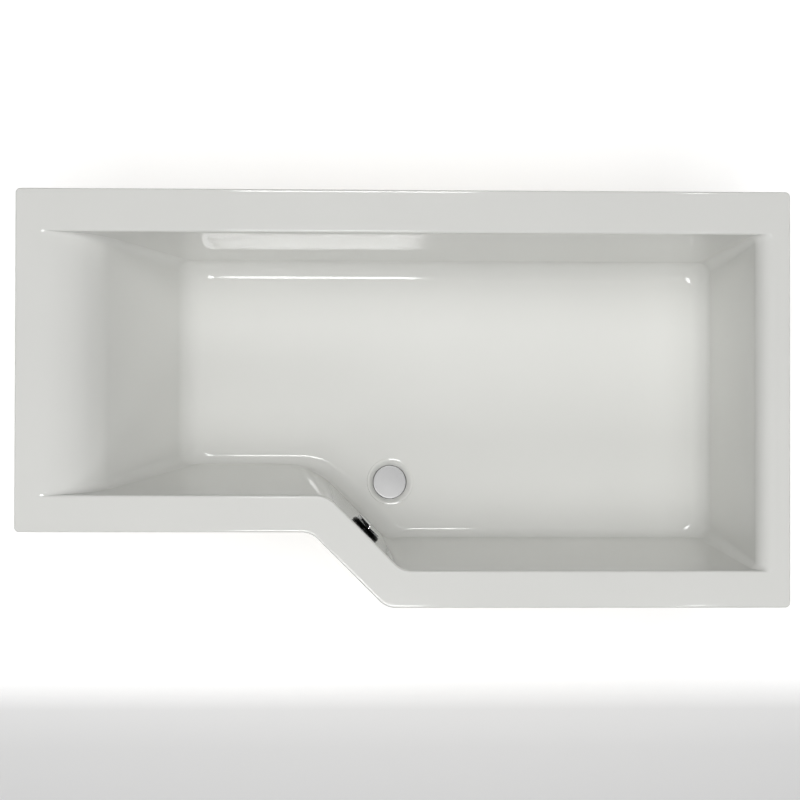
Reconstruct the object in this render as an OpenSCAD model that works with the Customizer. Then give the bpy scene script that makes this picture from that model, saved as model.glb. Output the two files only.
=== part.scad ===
// Square-cut P shaped shower bath with legs, pop-up waste, overflow and trap.
// Millimetres. X runs along the bath, +Y points to the wall, +Z is up.
// Origin: middle of the bath's footprint, on the floor.

/* [Bath] */
// Overall length
bath_l = 1585; // [1500:1:1700]
// Width of the showering end
bath_w = 854; // [800:1:900]
// Width of the bathing end
narrow_w = 700; // [660:1:740]
// Distance from the left end to the start of the 45 degree splay
splay_from_left = 601.5; // [560:0.5:650]
// Height of the rim's top above the floor
rim_h = 570; // [555:1:600]
// Depth of the well under the rim, at the foot of the walls
well_depth = 400; // [380:1:410]
// Fall of the floor towards the waste
floor_fall = 3; // [2:0.5:5]

/* [Rim] */
// Flat width of the rim at the left end
rim_left = 34.5; // [30:0.5:45]
// Flat width of the rim along the narrow front
rim_narrow = 70.8; // [66:0.2:85]
// Flat width of the rim along the splay
rim_splay = 72; // [68:0.2:90]
// Flat width of the rim along the wide front
rim_wide = 71.3; // [66:0.1:85]
// Flat width of the rim at the right end
rim_right = 30.5; // [28:0.5:45]
// Flat width of the rim along the wall
rim_back = 83.6; // [78:0.2:95]
// Height of the outer lip
lip_h = 38; // [30:1:42]
// Rounding of the rim's outer edge
lip_edge_r = 4; // [3:0.5:4.5]
// Corner radius of the outline at the four square corners
outline_r = 10; // [8:1:16]
// Corner radius of the outline at both ends of the splay
splay_r = 46; // [40:1:60]

/* [Walls] */
// Radius of the crisp edge between rim and long walls
crisp_r = 5; // [4:0.5:8]
// Radius of the roll-over at the left, lounging end
roll_left = 162; // [140:1:180]
// Radius of the roll-over at the right end
roll_right = 37; // [30:1:45]
// Lean of the lounging slope
lean_left = 25; // [20:0.5:28]
// Lean of the narrow front wall
lean_narrow = 8.6; // [5:0.2:10]
// Lean of the splayed wall
lean_splay = 2.8; // [1:0.2:3]
// Lean of the wide front wall
lean_wide = 7.5; // [4:0.1:9]
// Lean of the right end wall
lean_right = 5.8; // [4:0.2:9]
// Lean of the back wall
lean_back = 4.8; // [3:0.1:8]
// Radius at the foot of the lounging slope
foot_r_left = 60; // [45:1:70]
// Radius at the foot of the narrow and wide front walls
foot_r_front = 32; // [28:1:36]
// Radius at the foot of the splayed wall
foot_r_splay = 44; // [34:1:46]
// Radius at the foot of the back and right walls
foot_r_back = 40; // [32:1:46]
// Radius of the well's square corners at the rim
well_r_top = 12; // [10:1:20]
// Radius of the well's square corners at the floor
well_r_floor = 65; // [50:1:75]
// Radius of the well's inward splay corner at the rim
inward_r_top = 56; // [45:1:70]
// Radius of the well's inward splay corner at the floor
inward_r_floor = 150; // [110:5:160]
// Radius of the well's wide splay corner
wide_r = 50; // [40:1:60]

/* [Shell layers] */
// Thickness of the acrylic
acrylic_t = 5; // [4:0.5:5]
// Thickness of the fibreglass on the walls
fibre_t = 3; // [2:0.5:4]
// Thickness of the fibreglass under the waste's low point
fibre_pad = 3.7; // [3:0.1:5]
// Thickness of the baseboard
board_t = 18; // [15:1:22]
// Inset of the baseboard from the edge of the floor
board_inset = 6; // [4:1:12]
// Height of the timber rim battens
batten_h = 20; // [15:1:24]
// Width of the battens on the long sides
batten_w = 50; // [35:1:52]
// Width of the battens at both ends
end_batten_w = 22; // [18:1:22]
// Distance of the battens from the outline
batten_inset = 8; // [7:0.5:10]

/* [Waste] */
// Distance of the waste from the left end
waste_from_left = 774.5; // [765:0.5:800]
// Distance of the waste from the wall side
waste_from_back = 606; // [590:1:606]
// Radius of the recess round the waste
recess_r = 48; // [44:0.5:48]
// Depth of that recess
recess_depth = 7; // [6:0.5:8]
// Radius of the hole in the acrylic
waste_hole_r = 26; // [25.5:0.1:28]
// Radius of the plug cap
cap_r = 37.5; // [33:0.5:38]
// Thickness of the plug cap
cap_t = 3; // [2.5:0.1:3.5]
// Radius of the flange under the cap
flange_r = 36; // [33:0.5:36]
// Thickness of the flange
flange_t = 2; // [1.5:0.1:2.5]
// Outer radius of the flange's threaded throat
throat_r = 25; // [23:0.1:25]
// Thickness of the seal above the acrylic
upper_seal_t = 1; // [0.8:0.1:1.5]
// Thickness of the seal below the acrylic
lower_seal_t = 3; // [2:0.5:4]
// Lift of the plug when open
plug_lift = 9; // [6:0.5:10]
// Length of the lever's inner arm
lever_in = 30; // [28:1:32]
// Length of the lever's outer arm
lever_out = 22; // [18:1:22]
// Radius of the plug stem
stem_r = 4; // [3:0.5:4.5]
// Radius of the lever pin
pin_r = 2; // [1.5:0.1:2.5]
// Outer radius of the waste outlet's thread
outlet_r = 20.5; // [19:0.5:21]

/* [Overflow] */
// Depth of the overflow's middle under the rim
overflow_drop = 62; // [55:1:70]
// Distance of the overflow from the middle of the splay, towards the narrow end
overflow_shift = 32.5; // [25:0.5:40]
// Radius of the overflow bezel
bezel_r = 34.5; // [32:0.5:36]
// Depth of the overflow bezel
bezel_t = 8.5; // [7:0.5:10]
// Radius of the knob
knob_r = 30; // [26:0.5:31]
// Thickness of the knob's disc
knob_t = 3.5; // [3:0.5:5]
// Width of the raised half-moon that grips the knob
grip_w = 32; // [26:1:36]
// Height of that half-moon above the knob's disc
grip_h = 4; // [3:0.5:6]
// Turn of the knob from shut to open, in degrees
knob_turn = 90; // [60:5:120]
// Radius of the hole in the wall
overflow_hole_r = 26; // [26:0.5:28]
// Outer radius of the cup behind the wall
cup_r = 24.5; // [23:0.5:25]
// Depth of the cup behind the wall
cup_depth = 36; // [34:1:38]
// Radius of the knob's spindle
spindle_r = 4; // [3.5:0.1:5]

/* [Hose and cable] */
// Outer radius of the ribbed hose
hose_r = 16; // [15:0.5:16.5]
// Inner radius of the ribbed hose
hose_bore_r = 11.5; // [11:0.1:12]
// Distance from rib to rib
rib_pitch = 6; // [5:0.5:8]
// Radius of the control cable's sheath
cable_r = 2.5; // [2:0.1:3]

/* [Trap] */
// Outer radius of the trap's pipe
trap_r = 21.5; // [21:0.5:22]
// Wall of the trap's pipe
trap_wall = 3; // [2:0.5:4]
// Radius of the trap's bends on the pipe's centre line
bend_r = 28; // [27:1:30]
// Radius of the bore that takes the house's waste pipe
pipe_bore_r = 20.25; // [19:0.05:20.5]

/* [Legs] */
// Distance of the left leg rail from the left end
rail_left_from_end = 492.5; // [460:2.5:530]
// Distance of the right leg rail from the right end
rail_right_from_end = 312.5; // [290:2.5:370]
// Width of a leg rail
rail_w = 40; // [35:1:45]
// Height of a leg rail
rail_h = 25; // [20:1:27]
// Sheet thickness of a leg rail
rail_t = 2; // [1.5:0.1:2.5]
// Distance of the front feet from the outline
front_foot_inset = 65; // [55:1:70]
// Distance of the back feet from the wall side
back_foot_inset = 62; // [50:1:66]
// Radius of a foot
foot_pad_r = 25; // [20:1:28]
// Radius of a foot's stud
stud_r = 5; // [4:0.5:6]
// Distance of the centre leg from the middle of the bath
centre_leg_x = 150; // [130:5:200]

/* [Wall brackets] */
// Distance of each bracket from the middle
bracket_x = 500; // [400:5:600]
// Width of a bracket
bracket_w = 44; // [40:1:60]
// Sheet thickness of a bracket
bracket_t = 3; // [2.5:0.5:4]
// End-to-end length of a bracket's slot
slot_l = 24; // [18:1:30]
// Radius of a bracket's slot
slot_r = 3.25; // [3:0.25:4]

/* [Fits] */
// Gap between moulded layers
layer_gap = 0.3; // [0.2:0.05:0.4]
// Radial clearance of a running fit
run_fit = 0.06; // [0.04:0.01:0.1]
// Radial clearance of a loose hole
loose_fit = 0.3; // [0.2:0.1:0.5]

/* [Hidden] */
$fn = 64;
eps = 0.01;
through = 1;
corner_steps = 6;
roll_steps = 10;
wall_steps = 3;
foot_steps = 6;

// Sides of the outline, counter-clockwise from the left end:
// angle of the inward normal, offset of the outer line along it, rim width,
// edge radius, lean of the wall, radius at the wall's foot.
front_wide_y = -bath_w / 2;
front_narrow_y = bath_w / 2 - narrow_w;
splay_start = [splay_from_left - bath_l / 2, front_narrow_y];
splay_offset = (splay_start.x + splay_start.y) / sqrt(2);
sides = [
    [0, -bath_l / 2, rim_left, roll_left, lean_left, foot_r_left],
    [90, front_narrow_y, rim_narrow, crisp_r, lean_narrow, foot_r_front],
    [45, splay_offset, rim_splay, crisp_r, lean_splay, foot_r_splay],
    [90, front_wide_y, rim_wide, crisp_r, lean_wide, foot_r_front],
    [180, -bath_l / 2, rim_right, roll_right, lean_right, foot_r_back],
    [270, -bath_w / 2, rim_back, crisp_r, lean_back, foot_r_back],
    [360, -bath_l / 2, rim_left, roll_left, lean_left, foot_r_left]
];
last_side = len(sides) - 2;
// Corner k lies between side k and the next one. A negative radius bends inward.
outline_radii = [outline_r, -splay_r, splay_r, outline_r, outline_r, outline_r];
well_radii_top = [well_r_top, -inward_r_top, wide_r, well_r_top, well_r_top, well_r_top];
well_radii_floor = [well_r_floor, -inward_r_floor, wide_r, well_r_floor, well_r_floor,
    well_r_floor];

function unit(angle) = [cos(angle), sin(angle)];
function cross2(a, b) = a.x * b.y - a.y * b.x;
// Where side k at one inset meets the next side at another.
function plan_corner(k, inset_a, inset_b) =
    let (na = unit(sides[k][0]), nb = unit(sides[k + 1][0]))
    let (a = sides[k][1] + inset_a, b = sides[k + 1][1] + inset_b)
    [a * nb.y - b * na.y, b * na.x - a * nb.x] / cross2(na, nb);
// Rounded outline whose side k lies insets[k] inside the bath's own outline.
function plan_ring(insets, radii) = [
    for (k = [0:last_side])
        let (after = (k + 1) % (last_side + 1))
        let (middle = plan_corner(k, insets[k] + radii[k], insets[after] + radii[k]))
        for (j = [0:corner_steps])
            let (share = j / corner_steps)
            middle - radii[k] * unit(sides[k][0] * (1 - share) + sides[k + 1][0] * share)
];
function at_height(points, z) = [for (p = points) [p.x, p.y, z]];
function same(value) = [for (k = [0:last_side]) value];

// Wall profile of side k: inset at height z under the rim, for the face that lies
// a thickness t behind the bathing face.
function edge_end_z(k, t) = -t - (sides[k][3] - t) * (1 - sin(sides[k][4]));
function edge_end_inset(k, t) = sides[k][2] + (sides[k][3] - t) * cos(sides[k][4]);
function foot_start_z(k, t) =
    -well_depth - t + (sides[k][5] + t) * (1 - sin(sides[k][4]));
function foot_inset(k) =
    edge_end_inset(k, 0) + (edge_end_z(k, 0) - foot_start_z(k, 0)) * tan(sides[k][4])
    + sides[k][5] * cos(sides[k][4]);
function root(value) = sqrt(max(0, value));
function wall_inset(k, z, t) =
    z > edge_end_z(k, t) && sides[k][3] > t
    ? sides[k][2] + root(pow(sides[k][3] - t, 2) - pow(z + sides[k][3], 2))
    : z > foot_start_z(k, t)
    ? edge_end_inset(k, t) + (edge_end_z(k, t) - z) * tan(sides[k][4])
    : foot_inset(k) - root(pow(sides[k][5] + t, 2) - pow(z + well_depth - sides[k][5], 2));
function well_radius(k, z, t) =
    let (share = max(0, min(1, -(z + t) / well_depth)))
    well_radii_top[k] * (1 - share) + well_radii_floor[k] * share + t;
function well_ring(z, t) = plan_ring(
    [for (k = [0:last_side]) wall_inset(k, z, t)],
    [for (k = [0:last_side]) well_radius(k, z, t)]
);

// Heights of the rings, from the rim down: dense where the walls curve.
roll_depth = roll_left * (1 - sin(lean_left));
foot_depth = max(foot_r_back, foot_r_splay);
wall_span = well_depth - roll_depth - foot_depth;
levels = concat(
    [for (i = [0:roll_steps]) -roll_depth * pow(i / roll_steps, 2)],
    [for (i = [1:wall_steps]) -roll_depth - wall_span * i / wall_steps],
    [for (i = [foot_steps - 1:-1:0]) -well_depth + foot_depth * pow(i / foot_steps, 2)]
);
function face_rings(t) = [for (z = levels) at_height(well_ring(z - t, t), rim_h + z - t)];
function reversed(list) = [for (i = [len(list) - 1:-1:0]) list[i]];
function outline_ring(inset, z) =
    at_height(plan_ring(same(inset), [for (r = outline_radii) r - inset]), z);

// Closed skin over a stack of rings, with a fan of triangles at both ends.
// The fans meet at two low points, so that the floor falls to the waste.
function ring_walls(count, size) = [
    for (i = [0:count - 2])
        for (j = [0:size - 1])
            let (a = i * size + j, b = i * size + (j + 1) % size)
            each [[a, b, b + size], [a, b + size, a + size]]
];
inward_end = 2 * (corner_steps + 1) - 1;
back_start = 5 * (corner_steps + 1) - 1;
function fan(start, size, mid, low) = concat(
    [for (j = [0:size - 1])
        let (centre = j >= inward_end && j < back_start ? low : mid)
        [centre, start + (j + 1) % size, start + j]],
    [[mid, start + back_start, low], [low, start + inward_end, mid]]
);
function turned_over(faces) = [for (f = faces) reversed(f)];
module ring_skin(rings, first_centres, last_centres) {
    size = len(rings[0]);
    count = len(rings);
    points = concat([for (r = rings) each r], first_centres, last_centres);
    extra = size * count;
    polyhedron(points, concat(
        ring_walls(count, size),
        fan(0, size, extra, extra + 1),
        turned_over(fan(extra - size, size, extra + 2, extra + 3))
    ), convexity = 10);
}

// Places on the bath
waste = [waste_from_left - bath_l / 2, bath_w / 2 - waste_from_back];
narrow_middle_shift = 78;
narrow_middle = [
    (plan_corner(0, foot_inset(0), foot_inset(1)).x
        + plan_corner(1, foot_inset(1), foot_inset(2)).x) / 2 + narrow_middle_shift,
    (front_narrow_y + foot_inset(1) + bath_w / 2 - foot_inset(5)) / 2
];
function floor_centres(t) = [
    [narrow_middle.x, narrow_middle.y, rim_h - well_depth - floor_fall / 2 - t],
    [waste.x, waste.y, rim_h - well_depth - floor_fall - t]
];
function flat_centres(z) = [
    [narrow_middle.x, narrow_middle.y, z],
    [waste.x, waste.y, z]
];

// Stack of heights at the waste
floor_low_z = rim_h - well_depth - floor_fall;
recess_z = floor_low_z - recess_depth;
recess_wall = 4;
recess_lip_r = 3;
recess_slope = 6;
recess_under_z = recess_z - acrylic_t;
fibre_in_t = acrylic_t + layer_gap;
fibre_out_t = fibre_in_t + fibre_t;
board_top_z = floor_low_z - fibre_in_t - fibre_pad;
board_z = board_top_z - board_t;
fibre_hole_gap = 12;
fibre_hole_r = recess_r + recess_wall + fibre_hole_gap;
board_hole_step = 11;
board_hole_r = fibre_hole_r + board_hole_step;
flange_z = recess_z + upper_seal_t;
flange_top_z = flange_z + flange_t;
cap_gap = 0.8;
cap_z = flange_top_z + cap_gap;
throat_wall = 2.5;
body_top_z = recess_under_z - lower_seal_t;
throat_reach = 10;
throat_z = body_top_z - throat_reach;
body_flange_t = 4;
body_flange_w = 13;
body_flange_r = waste_hole_r + body_flange_w;
barrel_r = throat_r + run_fit;
barrel_wall = 3.5;
barrel_drop = 34;
barrel_floor_z = throat_z - barrel_drop;
cone_h = 8;
outlet_bore_r = outlet_r - barrel_wall;
outlet_top_z = barrel_floor_z - cone_h;
outlet_l = 14;
outlet_z = outlet_top_z - outlet_l;

// Lift lever, seen from its pin
lever_half_turn = asin(plug_lift / 2 / lever_in);
lever_turn = 2 * lever_half_turn;
lever_tip_r = 3;
lever_hub_r = 5;
lever_w = 7;
stem_reach = 8;
stem_z = throat_z - stem_reach;
lever_pin_z = stem_z - layer_gap - lever_tip_r + plug_lift / 2;
pin_reach = lever_in * cos(lever_half_turn);
lever_foot_z = lever_pin_z - lever_out;

// Overflow frame: +Z along the wall's inward normal, +X down the wall
overflow_inset = wall_inset(2, -overflow_drop, 0);
overflow_along = (bath_w - narrow_w) * sqrt(2) / 2 - overflow_shift;
overflow_at = splay_start + unit(-45) * overflow_along + unit(45) * overflow_inset;
module at_overflow() {
    translate([overflow_at.x, overflow_at.y, rim_h - overflow_drop])
        rotate([0, 90 - lean_splay, 45])
            children();
}
function overflow_point(x, y, z) =
    let (out = unit(45), along = unit(135))
    let (level = x * sin(lean_splay) + z * cos(lean_splay))
    [
        overflow_at.x + out.x * level + along.x * y,
        overflow_at.y + out.y * level + along.y * y,
        rim_h - overflow_drop - x * cos(lean_splay) + z * sin(lean_splay)
    ];
wall_out = fibre_out_t;
gasket_t = 3;
gasket_z = -wall_out - layer_gap - gasket_t;
cup_flange_w = 6;
cup_flange_r = overflow_hole_r + cup_flange_w;
cup_flange_t = 4;
cup_flange_z = gasket_z - cup_flange_t;
cup_wall = 2.5;
cup_back_z = cup_flange_z - cup_depth;
spout_z = cup_flange_z - cup_depth / 2;
hose_sides = 8;
tail_r = hose_bore_r * cos(180 / hose_sides) - loose_fit;
tail_l = 16;
tail_wall = 2;
shoulder_l = 13;
spout_x = cup_r + shoulder_l;
boss_wall = 4;
boss_r = spindle_r + boss_wall;
boss_l = 3;
knob_skin = 1;
drum_r = 9;
drum_t = 6;
drum_flange_t = 2;
drum_z = cup_back_z - boss_l - layer_gap - drum_t;
wire_travel = 2 * lever_out * sin(lever_half_turn);
groove_r = wire_travel / (knob_turn * PI / 180);
cable_mid_z = drum_z + drum_t / 2;
clip_l = 8;
clip_w = 10;
clip_foot = 2;
clip_reach = 13;
clip_x = drum_r + clip_reach;

// Routes of hose and cable: straight ends and one curve between
nut_l = 13;
nut_wall = 4;
hose_start = overflow_point(spout_x + layer_gap, 0, spout_z);
hose_start_dir = [sin(lean_splay) * cos(45), sin(lean_splay) * sin(45), -cos(lean_splay)];
hose_foot = [hose_start.x, hose_start.y] + unit(45) * (hose_start.z - board_z) * tan(lean_splay);
hose_angle = atan2(hose_foot.y - waste.y, hose_foot.x - waste.x);
port_drop = 23;
port_z = throat_z - port_drop;
port_l = 10;
port_end = barrel_r + barrel_wall + port_l;
function beside_waste(angle, reach, z) =
    [waste.x + cos(angle) * reach, waste.y + sin(angle) * reach, z];
hose_end = beside_waste(hose_angle, port_end + layer_gap, port_z);
hose_end_dir = [cos(hose_angle), sin(hose_angle), 0];
hose_straight = 2 * hose_r;
hose_pull_start = 240;
hose_pull_end = 45;
lever_from_hose = 62;
lever_angle = hose_angle - lever_from_hose;
housing_past_pin = 12;
housing_reach = pin_reach + housing_past_pin;
cable_boss_l = 8;
cable_above_toe = 2;
cable_end = beside_waste(lever_angle, housing_reach + cable_boss_l + layer_gap,
    lever_foot_z + cable_above_toe);
cable_end_dir = [cos(lever_angle), sin(lever_angle), 0];
cable_start = overflow_point(clip_x + clip_l + layer_gap, groove_r, cable_mid_z);
cable_straight = 10;
cable_pull_start = 300;
cable_pull_end = 70;
function bezier(a, b, c, d, s) =
    pow(1 - s, 3) * a + 3 * pow(1 - s, 2) * s * b + 3 * (1 - s) * s * s * c + pow(s, 3) * d;
// Route from one end to the other: each end runs straight along its own direction.
function route(a, a_dir, b, b_dir, straight, pull_a, pull_b, steps) =
    let (a1 = a + a_dir * straight, b1 = b + b_dir * straight)
    concat(
        [a],
        [for (i = [0:steps])
            bezier(a1, a1 + a_dir * pull_a, b1 + b_dir * pull_b, b1, i / steps)],
        [b]
    );
function distances(points, i = 0, so_far = 0) =
    i == len(points) - 1 ? [so_far]
    : concat([so_far], distances(points, i + 1, so_far + norm(points[i + 1] - points[i])));
function index_at(lengths, s, i = 0) =
    i >= len(lengths) - 2 || lengths[i + 1] >= s ? i : index_at(lengths, s, i + 1);
function point_at(points, lengths, s) =
    let (i = index_at(lengths, s))
    let (share = (s - lengths[i]) / (lengths[i + 1] - lengths[i]))
    points[i] * (1 - share) + points[i + 1] * share;
function direction(v) = v / norm(v);
// Ring of points round p, square to the direction d, with one axis along side.
function tube_ring(p, d, side, r, count) =
    let (v = direction(cross(d, side)), u = cross(v, d))
    [for (k = [0:count - 1]) p + r * (u * cos(360 * k / count) + v * sin(360 * k / count))];
function strip(first, second, count) = [
    for (k = [0:count - 1])
        let (n = (k + 1) % count)
        each [[first + k, second + n, first + n], [first + k, second + k, second + n]]
];
hose_line = route(hose_start, hose_start_dir, hose_end, hose_end_dir, hose_straight,
    hose_pull_start, hose_pull_end, 40);
hose_lengths = distances(hose_line);
hose_l = hose_lengths[len(hose_lengths) - 1];
hose_side = [-sin(hose_angle), cos(hose_angle), 0];
rib_count = floor(hose_l / rib_pitch);
rib_step = hose_l / rib_count;
rib_flat = 0.3;
rib_groove = 2.4;
bore_rings = 34;
cable_line = route(cable_start, hose_start_dir, cable_end, cable_end_dir, cable_straight,
    cable_pull_start, cable_pull_end, 48);
cable_side = [-sin(lever_angle), cos(lever_angle), 0];

// Legs
rail_z = board_z - rail_h;
stud_above_rail = 50;
stud_top_z = board_z + stud_above_rail;
foot_socket_z = 7;
foot_pad_t = 7;
foot_edge = 1;
foot_bevel = 3;
foot_boss_wall = 5;
foot_boss_r = stud_r + foot_boss_wall;
foot_boss_z = 18;
nut_t = 8;
nut_flat_r = 9.8;
back_foot_y = bath_w / 2 - back_foot_inset;
rail_left_x = rail_left_from_end - bath_l / 2;
rail_right_x = bath_l / 2 - rail_right_from_end;
feet = [
    [rail_left_x, front_narrow_y + front_foot_inset],
    [rail_left_x, back_foot_y],
    [rail_right_x, front_wide_y + front_foot_inset],
    [rail_right_x, back_foot_y],
    [centre_leg_x, 0]
];
rail_overhang = 22;
plate_half = 50;
plate_t = 3;
sleeve_wall = 3.5;
sleeve_r = stud_r + sleeve_wall;
sleeve_l = 42;
centre_stud_gap = 12;
centre_stud_top_z = board_z - plate_t - centre_stud_gap;
screw_r = 2.4;
screw_head_r = 4.5;
screw_head_t = 2;
screw_l = 14;
rail_screw_inset = 150;
plate_screw_at = 38;

// Battens under the laminated rim
batten_top_z = rim_h - fibre_out_t - layer_gap;
batten_z = batten_top_z - batten_h;
bracket_reach = 52;
bracket_drop = 55;
bracket_lip_gap = 0.5;
bracket_step = acrylic_t + bracket_lip_gap;
bracket_low_z = rim_h - lip_h - layer_gap;
bracket_slot_drop = 33;
bracket_slot_z = bracket_low_z - bracket_slot_drop;
bracket_screw_inset = 36;
bracket_screw_y = bath_w / 2 - bracket_screw_inset;

// Colours
acrylic_white = [0.86, 0.86, 0.84];
fibre_cream = [0.82, 0.79, 0.68];
board_tan = [0.72, 0.58, 0.40];
timber = [0.78, 0.64, 0.44];
zinc = [0.70, 0.72, 0.74];
black_plastic = [0.12, 0.12, 0.13];
white_plastic = [0.90, 0.90, 0.90];
chrome = [0.80, 0.81, 0.83];
rubber_black = [0.08, 0.08, 0.08];
brass_gold = [0.75, 0.62, 0.35];

// ---- Shell, backing, board and battens ----

module recess_cut() {
    translate([waste.x, waste.y, recess_z])
        rotate_extrude()
            polygon(concat(
                [[0, 0], [recess_r - recess_slope, 0]],
                [for (a = [0:15:60]) [
                    recess_r + recess_lip_r * (sin(a) - sin(60)),
                    recess_depth - recess_lip_r * (1 - cos(60 - a)) * 0.5
                ]],
                [[recess_r, recess_depth + floor_fall + through],
                    [0, recess_depth + floor_fall + through]]
            ));
}

module overflow_hole() {
    at_overflow()
        translate([0, 0, -wall_out - 10 * through])
            cylinder(r = overflow_hole_r, h = wall_out + 20 * through);
}

module bath_shell() {
    edge_rings = [for (a = [0:30:90])
        outline_ring(lip_edge_r * (1 - sin(a)), rim_h - lip_edge_r * (1 - cos(a)))];
    lip_rings = [
        outline_ring(0, rim_h - lip_h),
        outline_ring(acrylic_t, rim_h - lip_h),
        outline_ring(acrylic_t, rim_h - acrylic_t)
    ];
    color(acrylic_white)
        difference() {
            union() {
                ring_skin(
                    concat(reversed(face_rings(0)), edge_rings, lip_rings,
                        face_rings(acrylic_t)),
                    floor_centres(0), floor_centres(acrylic_t)
                );
                translate([waste.x, waste.y, recess_under_z])
                    cylinder(r = recess_r + recess_wall, h = floor_low_z - recess_under_z - through);
            }
            recess_cut();
            translate([waste.x, waste.y, recess_under_z - through])
                cylinder(r = waste_hole_r, h = acrylic_t + 2 * through);
            overflow_hole();
        }
}

module fibreglass_backing() {
    gap_inset = acrylic_t + layer_gap;
    flat_insets = [for (k = [0:last_side]) foot_inset(k)];
    flat_radii = [for (k = [0:last_side]) well_radii_floor[k] + fibre_out_t];
    flat_ring = at_height(plan_ring(flat_insets, flat_radii), board_top_z);
    color(fibre_cream)
        difference() {
            ring_skin(
                concat(
                    reversed(face_rings(fibre_in_t)),
                    [outline_ring(gap_inset, rim_h - fibre_in_t)],
                    [outline_ring(gap_inset, rim_h - fibre_out_t)],
                    face_rings(fibre_out_t),
                    [flat_ring]
                ),
                floor_centres(fibre_in_t), flat_centres(board_top_z)
            );
            translate([waste.x, waste.y, board_top_z - through])
                cylinder(r = fibre_hole_r, h = fibre_pad + floor_fall + 2 * through + fibre_t);
            overflow_hole();
        }
}

module baseboard() {
    insets = [for (k = [0:last_side]) foot_inset(k) + board_inset];
    color(board_tan)
        difference() {
            translate([0, 0, board_z])
                linear_extrude(board_t)
                    polygon(plan_ring(insets, well_radii_floor));
            translate([waste.x, waste.y, board_z - through])
                cylinder(r = board_hole_r, h = board_t + 2 * through);
            for (at = rail_screw_places)
                screw_hole(at, board_z);
            for (at = plate_screw_places)
                screw_hole(at, board_z);
        }
}

function end_side(k) = k % 2 == 0 && k != 2;
function batten_far(k) = batten_inset + (end_side(k) ? end_batten_w : batten_w);
module batten(k) {
    before = (k + last_side) % (last_side + 1);
    color(timber)
        translate([0, 0, batten_z])
            linear_extrude(batten_h)
                polygon([
                    plan_corner(before, batten_inset, batten_inset),
                    plan_corner(k, batten_inset, batten_inset),
                    plan_corner(k, batten_far(k), batten_far(k + 1)),
                    plan_corner(before, batten_far(before), batten_far(before + 1))
                ]);
}
module batten_left() { batten(0); }
module batten_front_narrow() { batten(1); }
module batten_splay() { batten(2); }
module batten_front_wide() { batten(3); }
module batten_right() { batten(4); }
module batten_back() {
    difference() {
        batten(5);
        for (x = [-bracket_x, bracket_x])
            screw_hole([x, bracket_screw_y], batten_z);
    }
}

// ---- Screws ----

rail_screw_places = [
    for (x = [rail_left_x, rail_right_x])
        each [[x, back_foot_y - rail_screw_inset], [x, back_foot_y - 2 * rail_screw_inset]]
];
plate_screw_places = [
    for (dx = [-plate_screw_at, plate_screw_at])
        for (dy = [-plate_screw_at, plate_screw_at])
            [centre_leg_x + dx, dy]
];
// Hole for a wood screw that goes up into a board whose underside is at z.
module screw_hole(at, z) {
    translate([at.x, at.y, z - through])
        cylinder(r = screw_r + run_fit, h = screw_l + through);
}
// Wood screw whose head bears under a sheet of thickness t, itself under height z.
module wood_screw(at, z, t) {
    translate([at.x, at.y, z - t - screw_head_t]) {
        cylinder(r = screw_head_r, h = screw_head_t);
        cylinder(r = screw_r, h = screw_head_t + t + screw_l - layer_gap);
    }
}
module rail_screws() {
    color(zinc)
        for (at = rail_screw_places)
            wood_screw(at, board_z, rail_t);
}
module centre_plate_screws() {
    color(zinc)
        for (at = plate_screw_places)
            wood_screw(at, board_z, plate_t);
}
module bracket_screws() {
    color(zinc)
        for (x = [-bracket_x, bracket_x])
            wood_screw([x, bracket_screw_y], batten_z, bracket_t);
}

// ---- Legs ----

module leg_rail(x, front_y) {
    y0 = front_y - rail_overhang;
    y1 = back_foot_y + rail_overhang;
    color(zinc)
        difference() {
            translate([x - rail_w / 2, y0, rail_z])
                cube([rail_w, y1 - y0, rail_h]);
            translate([x - rail_w / 2 + rail_t, y0 - through, rail_z - through])
                cube([rail_w - 2 * rail_t, y1 - y0 + 2 * through, rail_h - rail_t + through]);
            for (y = [front_y, back_foot_y])
                translate([x, y, rail_z])
                    cylinder(r = stud_r + loose_fit, h = rail_h + through);
            for (at = rail_screw_places)
                translate([at.x, at.y, rail_z])
                    cylinder(r = screw_r + loose_fit, h = rail_h + through);
        }
}
module leg_rail_left() { leg_rail(rail_left_x, feet[0].y); }
module leg_rail_right() { leg_rail(rail_right_x, feet[2].y); }

module centre_leg_plate() {
    at = feet[4];
    color(zinc)
        difference() {
            union() {
                translate([at.x - plate_half, at.y - plate_half, board_z - plate_t])
                    cube([2 * plate_half, 2 * plate_half, plate_t]);
                translate([at.x, at.y, board_z - plate_t - sleeve_l])
                    cylinder(r = sleeve_r, h = sleeve_l + eps);
            }
            translate([at.x, at.y, board_z - plate_t - sleeve_l - through])
                cylinder(r = stud_r + run_fit, h = sleeve_l + plate_t - through);
            for (place = plate_screw_places)
                translate([place.x, place.y, board_z - plate_t - through])
                    cylinder(r = screw_r + loose_fit, h = plate_t + 2 * through);
        }
}

module foot(i) {
    color(black_plastic)
        translate([feet[i].x, feet[i].y, 0])
            difference() {
                rotate_extrude()
                    polygon([
                        [0, 0], [foot_pad_r - foot_edge, 0], [foot_pad_r, foot_edge],
                        [foot_pad_r, foot_pad_t - 2 * foot_edge],
                        [foot_pad_r - foot_bevel, foot_pad_t],
                        [foot_boss_r + 2 * foot_edge, foot_pad_t + foot_edge],
                        [foot_boss_r, foot_pad_t + foot_bevel],
                        [foot_boss_r, foot_boss_z], [0, foot_boss_z]
                    ]);
                translate([0, 0, foot_socket_z])
                    cylinder(r = stud_r + run_fit, h = foot_boss_z);
            }
}
module leg_stud(i) {
    top = i == 4 ? centre_stud_top_z : stud_top_z;
    color(zinc)
        translate([feet[i].x, feet[i].y, foot_socket_z])
            cylinder(r = stud_r, h = top - foot_socket_z);
}
module foot_1() { foot(0); }
module foot_2() { foot(1); }
module foot_3() { foot(2); }
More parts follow.
